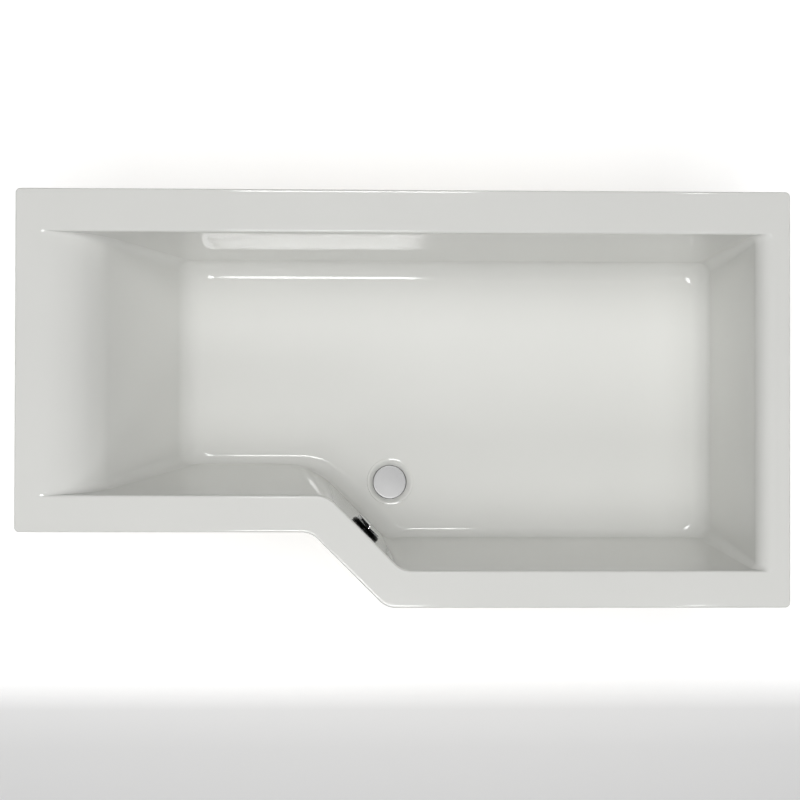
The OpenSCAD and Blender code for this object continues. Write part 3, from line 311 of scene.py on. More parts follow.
class NodeKit:
    """A material's nodes, and short ways to add to them."""

    def __init__(self, name: str) -> None:
        """Makes a material with one surface shader.

        Args:
            name: The material's name.
        """
        self.material = bpy.data.materials.new(name)
        self.material.use_nodes = True
        self.tree = self.material.node_tree
        self.shader = self.tree.nodes["Principled BSDF"]
        self.place = self.tree.nodes.new("ShaderNodeTexCoord").outputs["Object"]

    def feed(self, node: bpy.types.Node, **values: object) -> None:
        """Sets a node's inputs, or links them.

        Args:
            node: The node.
            values: A value or a socket for each input; an underscore stands for a space.
        """
        for key, value in values.items():
            target = node.inputs[key.replace("_", " ")]
            if isinstance(value, Socket):
                self.tree.links.new(value, target)
            else:
                target.default_value = value

    def set(self, **values: object) -> None:
        """Sets or links the shader's own inputs."""
        self.feed(self.shader, **values)

    def add(self, kind: str, **values: object) -> bpy.types.Node:
        """Adds a node.

        Args:
            kind: Blender's name of its type, without ShaderNode.
            values: A value or a socket for each input.

        Returns:
            The node.
        """
        node = self.tree.nodes.new("ShaderNode" + kind)
        self.feed(node, **values)
        return node

    def stretched(self, scale: Sequence[float], turn_deg: Sequence[float] = (0, 0, 0)) -> Socket:
        """Object coordinates, turned and scaled.

        Args:
            scale: Scale along each axis.
            turn_deg: Turn about each axis.

        Returns:
            The socket with the coordinates.
        """
        turn = [math.radians(a) for a in turn_deg]
        return self.add("Mapping", Scale=scale, Rotation=turn, Vector=self.place).outputs["Vector"]

    def noise(
        self, scale: float, detail: float = 3.0, where: Socket | None = None, rough: float = 0.5
    ) -> Socket:
        """A noise pattern.

        Args:
            scale: Features in each metre.
            detail: Octaves of finer noise.
            where: Coordinates, if not the plain ones.
            rough: Share of the finer octaves.

        Returns:
            The pattern's value, about 0.3 to 0.7.
        """
        where = where or self.place
        return self.add("TexNoise", Scale=scale, Detail=detail, Roughness=rough, Vector=where).outputs["Fac"]

    def cells(self, scale: float, where: Socket | None = None, out: str = "Distance") -> Socket:
        """A pattern of cells.

        Args:
            scale: Cells in each metre.
            where: Coordinates, if not the plain ones.
            out: The output that is read.

        Returns:
            The pattern's socket.
        """
        return self.add("TexVoronoi", Scale=scale, Vector=where or self.place).outputs[out]

    def ramp(self, value: Socket, stops: Sequence[tuple[float, Sequence[float]]]) -> Socket:
        """Turns a value into a colour.

        Args:
            value: The pattern.
            stops: Position and colour of each stop.

        Returns:
            The colour's socket.
        """
        node = self.add("ValToRGB", Fac=value)
        elements = node.color_ramp.elements
        while len(elements) < len(stops):
            elements.new(0.5)
        for element, (position, colour) in zip(elements, stops):
            element.position = position
            element.color = (*colour, 1)
        return node.outputs["Color"]

    def spread(self, value: Socket, low: float, high: float) -> Socket:
        """Maps a noise pattern onto a range.

        Args:
            value: The pattern.
            low: Result at the pattern's low side.
            high: Result at its high side.

        Returns:
            The mapped value's socket.
        """
        node = self.add("MapRange", Value=value, From_Min=NOISE_LOW, From_Max=NOISE_HIGH)
        self.feed(node, To_Min=low, To_Max=high)
        return node.outputs["Result"]

    def bump(self, height: Socket, depth: float, strength: float = 1.0) -> None:
        """Adds a bump under those that are there.

        Args:
            height: The pattern.
            depth: Its depth in metres.
            strength: Share of the bump.
        """
        node = self.add("Bump", Height=height, Distance=depth, Strength=strength)
        target = self.shader.inputs["Normal"]
        if target.is_linked:
            self.feed(node, Normal=target.links[0].from_socket)
        self.set(Normal=node.outputs["Normal"])


@dataclass(frozen=True)
class AcrylicFinish:
    """Gloss white sanitary acrylic, with the faint ripple of a vacuum-formed sheet."""

    tone: Triple = (0.795, 0.797, 0.77)
    gloss: Pair = (0.035, 0.06)
    ripple_depth: float = 0.00006

    def material(self) -> Material:
        """Builds the material."""
        kit = NodeKit("gloss_acrylic")
        shade = tuple(c * 0.985 for c in self.tone)
        kit.set(Base_Color=kit.ramp(kit.noise(3.5, 2), [(0.35, shade), (0.65, self.tone)]))
        kit.set(Roughness=kit.spread(kit.noise(9, 4), *self.gloss))
        kit.set(IOR=1.49, Coat_Weight=0.15, Coat_Roughness=0.02)
        kit.bump(kit.noise(14, 1), self.ripple_depth, 0.35)
        return kit.material


@dataclass(frozen=True)
class LaminateFinish:
    """Rolled glass mat in resin on the back of the shell."""

    resin: Triple = (0.66, 0.64, 0.55)
    strand: Triple = (0.80, 0.79, 0.72)
    bright: Triple = (0.86, 0.85, 0.79)

    def material(self) -> Material:
        """Builds the material."""
        kit = NodeKit("glass_laminate")
        drift = kit.noise(40, 3)
        wisps = kit.noise(90, 4, kit.stretched((1, 7, 3), (20, 35, 50)), 0.65)
        kit.set(Base_Color=kit.ramp(wisps, [(0.38, self.resin), (0.55, self.strand), (0.68, self.bright)]))
        kit.set(Roughness=kit.spread(drift, 0.28, 0.6), IOR=1.52)
        kit.bump(wisps, 0.0006, 0.7)
        kit.bump(drift, 0.0015, 0.5)
        return kit.material


@dataclass(frozen=True)
class ChipboardFinish:
    """Pressed wood particles, fine on the faces."""

    dark: Triple = (0.34, 0.23, 0.13)
    pale: Triple = (0.66, 0.52, 0.34)

    def material(self) -> Material:
        """Builds the material."""
        kit = NodeKit("chipboard")
        chips = kit.cells(420, kit.stretched((1, 0.45, 1.6), (0, 0, 25)), "Color")
        split = kit.add("SeparateColor", Color=chips).outputs
        middle = tuple((a + b) / 2 for a, b in zip(self.dark, self.pale))
        kit.set(Base_Color=kit.ramp(split["Red"], [(0.1, self.dark), (0.45, middle), (0.9, self.pale)]))
        kit.set(Roughness=0.82)
        kit.bump(split["Green"], 0.0004, 0.6)
        return kit.material


@dataclass(frozen=True)
class TimberFinish:
    """Planed softwood with its grain along one axis."""

    name: str
    grain_deg: float
    early: Triple = (0.74, 0.56, 0.34)
    late: Triple = (0.56, 0.36, 0.18)

    def material(self) -> Material:
        """Builds the material."""
        kit = NodeKit(self.name)
        along = kit.stretched((1.2, 22, 22), (0, 0, -self.grain_deg))
        rings = kit.noise(5, 4, along, 0.6)
        fibres = kit.noise(45, 3, along)
        stops = [(0.36, self.late), (0.44, self.early), (0.56, self.early), (0.64, self.late)]
        kit.set(Base_Color=kit.ramp(rings, stops), Roughness=kit.spread(fibres, 0.55, 0.75))
        kit.bump(fibres, 0.0004, 0.5)
        return kit.material


@dataclass(frozen=True)
class MetalFinish:
    """A metal, plated or bare, with its own handling marks."""

    name: str
    tone: Triple
    rough: Pair
    grain: float = 60.0
    stretch: Triple = (1, 1, 1)
    depth: float = 0.00005
    spangle: float = 0.0

    def material(self) -> Material:
        """Builds the material."""
        kit = NodeKit(self.name)
        where = kit.stretched(self.stretch)
        marks = kit.noise(self.grain, 4, where, 0.6)
        shade = tuple(c * 0.86 for c in self.tone)
        pattern = kit.cells(self.spangle) if self.spangle else marks
        kit.set(Base_Color=kit.ramp(pattern, [(NOISE_LOW, shade), (NOISE_HIGH, self.tone)]))
        kit.set(Roughness=kit.spread(marks, *self.rough), Metallic=1.0)
        kit.bump(marks, self.depth, 0.4)
        return kit.material


@dataclass(frozen=True)
class PlasticFinish:
    """Moulded plastic or rubber with a fine texture."""

    name: str
    tone: Triple
    rough: Pair
    grain: float = 900.0
    depth: float = 0.00004

    def material(self) -> Material:
        """Builds the material."""
        kit = NodeKit(self.name)
        fine = kit.noise(self.grain, 2)
        cloud = kit.noise(18, 3)
        shade = tuple(c * 0.93 for c in self.tone)
        kit.set(Base_Color=kit.ramp(cloud, [(0.35, shade), (0.65, self.tone)]))
        kit.set(Roughness=kit.spread(cloud, *self.rough))
        kit.bump(fine, self.depth, 0.5)
        return kit.material


class Finishes:
    """Every material of the bath, each made once."""

    def __init__(self) -> None:
        """Makes the materials."""
        self.acrylic = AcrylicFinish().material()
        self.laminate = LaminateFinish().material()
        self.chipboard = ChipboardFinish().material()
        self.timber_x = TimberFinish("softwood_lengthwise", 0).material()
        self.timber_y = TimberFinish("softwood_crosswise", 90).material()
        self.timber_splay = TimberFinish("softwood_splay", -45).material()
        metal, plastic = MetalFinish, PlasticFinish
        self.zinc = metal("zinc_plate", (0.62, 0.64, 0.66), (0.28, 0.48), 30, spangle=160).material()
        self.screw_zinc = metal("bright_zinc", (0.72, 0.73, 0.74), (0.18, 0.32), 400).material()
        self.chrome = metal("bright_chrome", (0.62, 0.63, 0.65), (0.02, 0.06), 30, depth=0.00001).material()
        # Near-black chrome is a painted dark reflection: it stands in for the dark surroundings that chrome
        # mirrors, on the overflow's bezel and on the knob's bevels
        self.painted_dark_reflection = metal("dark_reflection_chrome", (0.012,) * 3, (0.03, 0.08), 40, depth=0.00001).material()
        # A dark, rougher chrome for painted shade: the thin dark ring at the waste cap's edge
        self.painted_edge_shade = metal("painted_edge_shade", (0.16, 0.16, 0.155), (0.2, 0.3), 240).material()
        self.satin = metal("satin_chrome", (0.52,) * 3, (0.26, 0.36), 240, (1, 14, 1), 0.00002).material()
        self.brass = metal("turned_brass", (0.72, 0.52, 0.24), (0.2, 0.34), 300, (1, 1, 9)).material()
        self.white_plastic = plastic("white_polypropylene", (0.80, 0.80, 0.78), (0.3, 0.42)).material()
        self.black_plastic = plastic("black_nylon", (0.022, 0.022, 0.024), (0.36, 0.5)).material()
        self.hose = plastic("hose_plastic", (0.74, 0.74, 0.72), (0.34, 0.46)).material()
        self.rubber = plastic("black_rubber", (0.018,) * 3, (0.6, 0.75), 500, 0.00008).material()


# ---------------------------------------------------------------- tub


@dataclass(frozen=True)
class WallSide:
    """One side of the outline, with its rim and the wall that drops from it."""

    normal_deg: float
    offset: float
    rim: float
    edge_r: float
    lean_deg: float
    foot_r: float

    @property
    def lean(self) -> float:
        """Lean of the wall in radians."""
        return math.radians(self.lean_deg)

    @property
    def inward(self) -> Vector:
        """Unit vector into the bath."""
        return Vector(heading(self.normal_deg))


@dataclass(frozen=True)
class TubForm:
    """The bath's plan and wall profiles, by the CAD model's rules but sampled more finely.

    Two values differ from the CAD model, because the photograph's highlights ask for
    tighter roundings: the foot of both front walls (0.022 here, 0.032 there) and the
    floor's plain corners (0.030 here, 0.065 there).
    """

    length: float = 1.585
    width: float = 0.854
    narrow: float = 0.700
    splay_from_left: float = 0.6015
    rim_z: float = 0.570
    depth: float = 0.400
    fall: float = 0.003
    outline_radii: tuple[float, ...] = (0.010, -0.046, 0.046, 0.010, 0.010, 0.010)
    radii_top: tuple[float, ...] = (0.012, -0.056, 0.050, 0.012, 0.012, 0.012)
    radii_floor: tuple[float, ...] = (0.030, -0.150, 0.050, 0.030, 0.030, 0.030)
    fall_run: float = 0.11
    fall_reach: float = 0.75
    corner_steps: int = 20
    roll_steps: int = 40
    wall_steps: int = 6
    foot_steps: int = 18

    @property
    def sides(self) -> list[WallSide]:
        """The six sides, and the first once more."""
        front = self.width / 2 - self.narrow
        splay = (self.splay_from_left - self.length / 2 + front) / math.sqrt(2)
        around = [
            WallSide(0, -self.length / 2, 0.0345, 0.162, 25, 0.060),
            WallSide(90, front, 0.0708, 0.005, 8.6, 0.022),
            WallSide(45, splay, 0.0720, 0.005, SPLAY_LEAN_DEG, 0.044),
            WallSide(90, -self.width / 2, 0.0713, 0.005, 7.5, 0.022),
            WallSide(180, -self.length / 2, 0.0305, 0.037, 5.8, 0.040),
            WallSide(270, -self.width / 2, 0.0836, 0.005, 4.8, 0.040),
        ]
        return around + [replace(around[0], normal_deg=360)]

    def corner(self, k: int, inset_a: float, inset_b: float) -> Vector:
        """Where side k at one inset meets the next side at another."""
        first, second = self.sides[k], self.sides[k + 1]
        na, nb = first.inward, second.inward
        a, b = first.offset + inset_a, second.offset + inset_b
        cross = na.x * nb.y - na.y * nb.x
        return Vector(((a * nb.y - b * na.y) / cross, (b * na.x - a * nb.x) / cross))

    def plan_ring(self, insets: Sequence[float], radii: Sequence[float], z: float) -> Ring:
        """A rounded outline.

        Args:
            insets: How far each side lies inside the bath's outline.
            radii: Corner radii; a negative one bends inward.
            z: Height over the floor.

        Returns:
            The ring's points.
        """
        sides = self.sides
        ring = []
        for k in range(6):
            middle = self.corner(k, insets[k] + radii[k], insets[(k + 1) % 6] + radii[k])
            for j in range(self.corner_steps + 1):
                share = j / self.corner_steps
                angle_deg = sides[k].normal_deg * (1 - share) + sides[k + 1].normal_deg * share
                point = middle - radii[k] * Vector(heading(angle_deg))
                ring.append(Vector((point.x, point.y, z)))
        return ring

    def edge_end(self, side: WallSide, t: float) -> Pair:
        """Inset and height where a wall's upper rounding ends, behind a thickness t."""
        bend = side.edge_r - t
        return side.rim + bend * math.cos(side.lean), -t - bend * (1 - math.sin(side.lean))

    def foot_start_z(self, side: WallSide, t: float) -> float:
        """Height where a wall's foot begins."""
        return -self.depth - t + (side.foot_r + t) * (1 - math.sin(side.lean))

    def foot_inset(self, side: WallSide) -> float:
        """Inset of the line where a wall's foot meets the floor."""
        inset, z = self.edge_end(side, 0)
        run = (z - self.foot_start_z(side, 0)) * math.tan(side.lean)
        return inset + run + side.foot_r * math.cos(side.lean)

    def wall_inset(self, side: WallSide, z: float, t: float) -> float:
        """Inset of a wall at height z under the rim, behind a thickness t."""
        inset, end_z = self.edge_end(side, t)
        if z > end_z and side.edge_r > t:
            return side.rim + math.sqrt(max(0, (side.edge_r - t) ** 2 - (z + side.edge_r) ** 2))
        if z > self.foot_start_z(side, t):
            return inset + (end_z - z) * math.tan(side.lean)
        reach = (side.foot_r + t) ** 2 - (z + self.depth - side.foot_r) ** 2
        return self.foot_inset(side) - math.sqrt(max(0, reach))

    def well_ring(self, z: float, t: float) -> Ring:
        """The well's ring at height z under the rim, behind a thickness t."""
        share = clamp(-(z + t) / self.depth)
        radii = [a * (1 - share) + b * share + t for a, b in zip(self.radii_top, self.radii_floor)]
        insets = [self.wall_inset(side, z, t) for side in self.sides[:6]]
        return self.plan_ring(insets, radii, self.rim_z + z)

    def levels(self) -> list[float]:
        """Heights of the rings under the rim: dense where the walls curve."""
        left = self.sides[0]
        roll = left.edge_r * (1 - math.sin(left.lean))
        foot = max(side.foot_r for side in self.sides[1:6])
        span = self.depth - roll - foot
        rolling = [-roll * (i / self.roll_steps) ** 2 for i in range(self.roll_steps + 1)]
        straight = [-roll - span * i / self.wall_steps for i in range(1, self.wall_steps + 1)]
        steps = self.foot_steps
        footing = [-self.depth + foot * (i / steps) ** 2 for i in range(steps - 1, -1, -1)]
        return rolling + straight + footing

    def face_rings(self, t: float) -> list[Ring]:
        """Rings of the face that lies a thickness t behind the bathing face, from the rim down."""
        return [self.well_ring(z - t, t) for z in self.levels()]

    def rim_ring(self, out: float) -> Ring:
        """A ring on the flat rim, a distance out from the well's edge."""
        insets = [side.rim - out for side in self.sides[:6]]
        return self.plan_ring(insets, [r + out for r in self.radii_top], self.rim_z)

    def outline(self, inset: float, z: float) -> Ring:
        """The bath's outline, inset, at height z under the rim."""
        return self.plan_ring([inset] * 6, [r - inset for r in self.outline_radii], self.rim_z + z)

    def floor_fall(self, x: float, y: float) -> float:
        """How far the floor lies under the foot of the walls at a point."""
        here = Vector((x, y))
        gaps = [s.inward.dot(here) - s.offset - self.foot_inset(s) for s in self.sides[:6]]
        front = max(gaps[Side.NARROW_FRONT], min(gaps[Side.SPLAY], gaps[Side.WIDE_FRONT]))
        edge = min(gaps[Side.LEFT], front, gaps[Side.RIGHT], gaps[Side.BACK])
        rise = clamp(edge / self.fall_run)
        near = max(0.0, 1 - (here - Vector(WASTE_AT)).length / self.fall_reach)
        return self.fall * rise * rise * (3 - 2 * rise) * near


@dataclass
class Shell:
    """The acrylic tub and the laminate behind it."""

    form: TubForm = TubForm()
    acrylic_t: float = 0.005
    gap: float = 0.0003
    laminate_t: float = 0.003
    pad_t: float = 0.0037
    lip_h: float = 0.038
    lip_edge_r: float = 0.004
    recess_r: float = 0.048
    recess_depth: float = 0.007
    recess_wall: float = 0.004
    waste_hole_r: float = 0.026
    overflow_hole_r: float = 0.026
    laminate_hole_r: float = 0.064
    rough_scale: float = 26.0
    rough_depth: float = 0.0011
    rough_below: float = 0.05
    smooth_seat_r: float = 0.18
    smooth_run: float = 0.08
    grid: float = 0.03
    grid_x: tuple[int, int] = (-24, 26)
    grid_y: tuple[int, int] = (-12, 13)
    hold: float = 0.002
    drill_past: float = 0.002
    overflow_drill: Pair = (-0.03, 0.02)
    dish_flat_r: float = 0.0385
    dish_lean: float = 0.0012
    dish_steps: int = 128
    # Distance out from the lip, and height over the floor, of each ring of the lip
    dish_lip: tuple[Pair, ...] = (
        (-0.0032, -0.0012), (-0.002, -0.00045), (-0.0012, -0.00023), (-0.0002, -0.0001),
        (0.0008, -0.00001), (0.0018, 0.00009), (0.0024, 0.0009), (0.003, 0.004),
    )

    @property
    def floor_z(self) -> float:
        """Height of the floor at the foot of the walls."""
        return self.form.rim_z - self.form.depth

    @property
    def recess_z(self) -> float:
        """Height of the recess's bottom."""
        return self.floor_z - self.form.fall - self.recess_depth

    def grid_floor(self, piece: Piece, level: float) -> None:
        """Cuts a flat end face into a grid and lets it fall to the waste.

        Args:
            piece: The lofted skin.
            level: Height of the end face.
        """
        pick(piece)
        bpy.ops.object.mode_set(mode="EDIT")
        xs = [i * self.grid for i in range(*self.grid_x)]
        ys = [i * self.grid for i in range(*self.grid_y)]
        for values, normal in ((xs, (1, 0, 0)), (ys, (0, 1, 0))):
            for value in values:
                mesh = bmesh.from_edit_mesh(piece.data)
                bpy.ops.mesh.select_all(action="DESELECT")
                for face in mesh.faces:
                    face.select_set(all(abs(v.co.z - level) < 2 * SAME_POINT for v in face.verts))
                bmesh.update_edit_mesh(piece.data)
                bpy.ops.mesh.bisect(plane_co=tuple(value * n for n in normal), plane_no=normal)
        mesh = bmesh.from_edit_mesh(piece.data)
        for vertex in mesh.verts:
            if abs(vertex.co.z - level) < 2 * SAME_POINT:
                vertex.co.z -= self.form.floor_fall(vertex.co.x, vertex.co.y)
        bmesh.update_edit_mesh(piece.data)
        bpy.ops.object.mode_set(mode="OBJECT")

    def waste_tool(self, name: str, profile: Sequence[Pair]) -> Piece:
        """A turned tool over the waste."""
        return place(lathe(name, profile), Matrix.Translation((*WASTE_AT, 0)))

    def recess_tool(self) -> Piece:
        """The dish round the waste; the rings of its side shift to the back right as they rise."""
        low, top = self.recess_z, self.floor_z - self.form.fall
        flat, lip = self.dish_flat_r, self.recess_r + 0.001
        steps = [(flat - 0.0015, low), (flat, low + 0.0003), (flat + 0.0012, low + 0.0011)]
        steps += [(lip + out, top + up) for out, up in self.dish_lip]
        rings = []
        for r, z in [(0.001, low), *steps, (0.001, steps[-1][1])]:
            lean = self.dish_lean * clamp((z - low) / self.recess_depth) * (r > flat)
            rings.append(circle(r, z, self.dish_steps, Vector(WASTE_AT) + Vector((lean, lean))))
        return loft("recess_tool", rings)

    def overflow_tool(self, frame_matrix: Matrix) -> Piece:
        """The drill for the overflow's hole."""
        profile = [(self.overflow_hole_r, z) for z in self.overflow_drill]
        return place(lathe("overflow_drill", profile), frame_matrix)

    def build_acrylic(self, overflow_frame: Matrix) -> Piece:
        """Builds the acrylic shell.

        Args:
            overflow_frame: The overflow's frame on the splayed wall.

        Returns:
            The shell.
        """
        form, t, edge = self.form, self.acrylic_t, self.lip_edge_r
        rounding = [math.radians(a) for a in range(0, 91, 9)]
        rings = list(reversed(form.face_rings(0)))
        rings += [form.rim_ring(self.hold), form.outline(edge + self.hold, 0)]
        rings += [form.outline(edge * (1 - math.sin(a)), -edge * (1 - math.cos(a))) for a in rounding]
        rings += [form.outline(0, -self.lip_h + 0.0012), form.outline(0.0004, -self.lip_h + 0.0003)]
        rings += [form.outline(0.0014, -self.lip_h), form.outline(t - 0.0008, -self.lip_h)]
        rings += [form.outline(t, -self.lip_h + 0.0008), form.outline(t, -t)]
        rings += form.face_rings(t)
        shell = loft("acrylic_shell", rings)
        self.grid_floor(shell, self.floor_z)
        self.grid_floor(shell, self.floor_z - t)
        under = self.recess_z - t
        puck = self.recess_r + self.recess_wall
        top = self.floor_z - form.fall - 0.001
        cut(shell, [self.waste_tool("recess_puck", [(puck, under), (puck, top)])], "UNION")
        tools = [self.recess_tool()]
        hole, past = self.waste_hole_r, self.drill_past
        tools.append(self.waste_tool("waste_drill", [(hole, under - past), (hole, self.recess_z + past)]))
        tools.append(self.overflow_tool(overflow_frame))
        cut(shell, tools)
        return close_piece(shell, 30)

    def build_laminate(self, overflow_frame: Matrix) -> Piece:
        """Builds the glass laminate behind the shell.

        Its back is rough, but smooth round the overflow, where the gasket lies close to it.

        Args:
            overflow_frame: The overflow's frame on the splayed wall.

        Returns:
            The laminate.
        """
        form = self.form
        inner = self.acrylic_t + self.gap
        outer = inner + self.laminate_t
        board_top = self.floor_z - form.fall - inner - self.pad_t
        flat_insets = [form.foot_inset(side) for side in form.sides[:6]]
        flat_radii = [r + outer for r in form.radii_floor]
        rings = list(reversed(form.face_rings(inner)))
        rings += [form.outline(inner, -inner), form.outline(inner, -outer)]
        outside = form.face_rings(outer)
        seat = overflow_frame.translation
        for ring in outside:
            for point in ring:
                sink = clamp((form.rim_z - self.rough_below - point.z) / self.rough_below)
                calm = clamp(((point - seat).length - self.smooth_seat_r) / self.smooth_run)
                rough = clamp(noise.fractal(point * self.rough_scale, 0.8, 2.0, 4) + 0.5)
                away = Vector((point.x, point.y, 0)).normalized()
                point += away * self.rough_depth * sink * calm * rough
        rings += outside + [form.plan_ring(flat_insets, flat_radii, board_top)]
        laminate = loft("glass_laminate", rings)
        self.grid_floor(laminate, self.floor_z - inner)
        profile = [(self.laminate_hole_r, z) for z in (board_top - self.drill_past, self.floor_z)]
        cut(laminate, [self.waste_tool("laminate_drill", profile), self.overflow_tool(overflow_frame)])
        return close_piece(laminate, 40)

    def build(self, finishes: Finishes, overflow_frame: Matrix) -> None:
        """Builds and dresses both layers.

        Args:
            finishes: The materials.
            overflow_frame: The overflow's frame on the splayed wall.
        """
        shell = self.build_acrylic(overflow_frame)
        finish_piece(shell, Body.BATH, finishes.acrylic, ["bath_shell"])
        laminate = self.build_laminate(overflow_frame)
        finish_piece(laminate, Body.BATH, finishes.laminate, ["fibreglass_backing"])


# ---------------------------------------------------------------- fittings


@dataclass
class Overflow:
    """The overflow on the splayed wall: bezel and rotary knob."""

    at: Triple = (-0.0805583, -0.270596, 0.508)
    bezel_r: float = 0.0345
    bezel_t: float = 0.0085
    knob_r: float = 0.030
    knob_t: float = 0.0035
    grip_w: float = 0.032
    grip_h: float = 0.004
    gap: float = 0.0003
    hole_r: float = 0.026
    skirt_l: float = 0.0073
    skirt_t: float = 0.0025
    face_t: float = 0.0026
    slot_w: float = 0.0062
    slot_from: float = 0.004

    @property
    def frame(self) -> Matrix:
        """Frame on the wall: +Z out of it, +X down it."""
        tilt = Matrix.Rotation(math.radians(90 - SPLAY_LEAN_DEG), 4, "Y")
        turn = Matrix.Rotation(math.radians(45), 4, "Z") @ tilt
        return Matrix.Translation(self.at) @ turn

    def build_bezel(self) -> Piece:
        """Builds the slotted bezel with its skirt through the wall."""
        r, t = self.bezel_r, self.bezel_t - self.gap
        skirt = self.hole_r - 0.001
        profile = rounded(
            [
                (skirt - self.skirt_t, -self.skirt_l, 0),
                (skirt, -self.skirt_l, 0.0004),
                (skirt, self.gap, 0),
                (r - 0.0004, self.gap, 0.0003),
                (r, self.bezel_t - 0.004, 0.002),
                (r - 0.0022, t, 0.0016),
                (0.0055, t, 0.0005),
                (0.0051, t - self.face_t, 0.0003),
                (skirt - self.skirt_t, t - self.face_t, 0.0004),
                (skirt - self.skirt_t, -self.skirt_l, 0),
            ]
        )
        bezel = lathe("overflow_bezel_ring", profile[:-1] + [profile[0]], 128)
        tools = []
        for angle in range(-60, 61, 30):
            bpy.ops.mesh.primitive_cube_add(size=1)
            slot = start_piece("slot_tool")
            bpy.ops.mesh.bevel(offset=0.12, offset_pct=0, segments=4, affect="EDGES")
            bpy.ops.object.mode_set(mode="OBJECT")
            long, high = r + self.slot_from, self.bezel_t - 0.005
            size = Matrix.Diagonal((long, self.slot_w, high, 1))
            middle = Matrix.Translation((long / 2 + self.slot_from, 0, 0.002 + high / 2))
            tools.append(place(slot, Matrix.Rotation(math.radians(angle), 4, "Z") @ middle @ size))
        cut(bezel, tools)
        return place(close_piece(bezel, 32), self.frame)

    def build_knob(self) -> Piece:
        """Builds the knob: a disc whose raised half-moon is the grip."""
        r, t, low = self.knob_r, self.knob_t, self.bezel_t + self.gap
        top = t + self.grip_h
        edge = [(0.0005, 0, 0), (r - 0.0003, 0, 0.0003), (r, top - 0.0008, 0.0006), (r - 0.0012, top, 0.0008)]
        disc = lathe("overflow_rotary_knob", rounded(edge + [(0.0005, top + 0.0001, 0)]), 128)
        bpy.ops.mesh.primitive_cube_add(size=1)
        notch = start_piece("notch")
        bpy.ops.object.mode_set(mode="OBJECT")
        low_half = 2 * r - self.grip_w
        size = Matrix.Diagonal((3 * r, 2 * low_half, 2 * self.grip_h, 1))
        cut(disc, [place(notch, Matrix.Translation((0, -r, t + self.grip_h)) @ size)])
        sharp = math.radians(50)
        apply_modifier(disc, "BEVEL", width=0.0007, segments=3, limit_method="ANGLE", angle_limit=sharp)
        return place(close_piece(disc, 32), self.frame @ Matrix.Translation((0, 0, low)))

    def build(self, finishes: Finishes) -> None:
        """Builds and dresses the bezel and the knob.

        Args:
            finishes: The materials.
        """
        # The bezel's near-black finish is a painted dark reflection
        finish_piece(self.build_bezel(), Body.BATH, finishes.painted_dark_reflection, ["overflow_bezel"])
        knob = finish_piece(self.build_knob(), Body.KNOB, finishes.chrome, ["overflow_knob"])
        # The knob's bevelled faces get the painted dark reflection, as dark edge lines
        paint_dark_band(knob, finishes.painted_dark_reflection, self.frame.to_3x3() @ Vector((0, 0, 1)), (0.12, 0.97))


@dataclass
class PlugCap:
    """The waste's cap, which lifts with the plug."""

    low_z: float = 0.1638
    radius: float = 0.0375
    thickness: float = 0.003
    boss_r: float = 0.007
    boss_l: float = 0.006
    edge_shade_w: float = 0.0016

    def build(self, finishes: Finishes) -> None:
        """Builds and dresses the cap.

        Args:
            finishes: The materials.
        """
        r, t = self.radius, self.thickness
        profile = rounded(
            [
                (0.0003, -self.boss_l, 0),
                (self.boss_r, -self.boss_l, 0.0006),
                (self.boss_r, 0, 0.0012),
                (r - 0.003, 0.0004, 0),
                (r - 0.0004, 0, 0.0002),
                (r, 0.0012, 0.0006),
                (r - 0.0009, t - 0.0003, 0.0009),
                (r - 0.0042, t - 0.00025, 0.001),
                (0.012, t - 0.00005, 0),
                (0.0003, t, 0),
            ]
        )
        cap = close_piece(lathe("waste_cap", profile, 160), 40)
        place(cap, Matrix.Translation((*WASTE_AT, self.low_z)))
        finish_piece(cap, Body.PLUG, finishes.satin, ["plug_cap"])
        # Painted shade: a dark band on the cap's outer edge stands in for the shadow gap round it
        paint_dark_band(cap, finishes.painted_edge_shade, Vector((0, 0, 1)), (-0.9, 2.0), r - self.edge_shade_w)


@dataclass(frozen=True)
class Run:
    """A cord's way between two fittings: straight out of both, with one curve between."""

    start: Triple
    end: Triple
    end_deg: float
    straight: float
    pulls: Pair
    steps: int

    @property
    def side(self) -> Vector:
        """Level unit vector square to the far end's direction."""
        x, y = heading(self.end_deg)
        return Vector((-y, x, 0))

    @property
    def points(self) -> list[Vector]:
        """The points of the run, from the wall to the waste."""
        lean = math.radians(SPLAY_LEAN_DEG)
        half = math.sqrt(0.5)
        away = Vector((math.sin(lean) * half, math.sin(lean) * half, -math.cos(lean)))
        back = Vector((*heading(self.end_deg), 0))
        first, last = Vector(self.start), Vector(self.end)
        a, d = first + away * self.straight, last + back * self.straight
        b, c = a + away * self.pulls[0], d + back * self.pulls[1]
        points = [first]
        for i in range(self.steps + 1):
            s = i / self.steps
            points.append(a * (1 - s) ** 3 + b * 3 * s * (1 - s) ** 2 + c * 3 * s * s * (1 - s) + d * s**3)
        return points + [last]


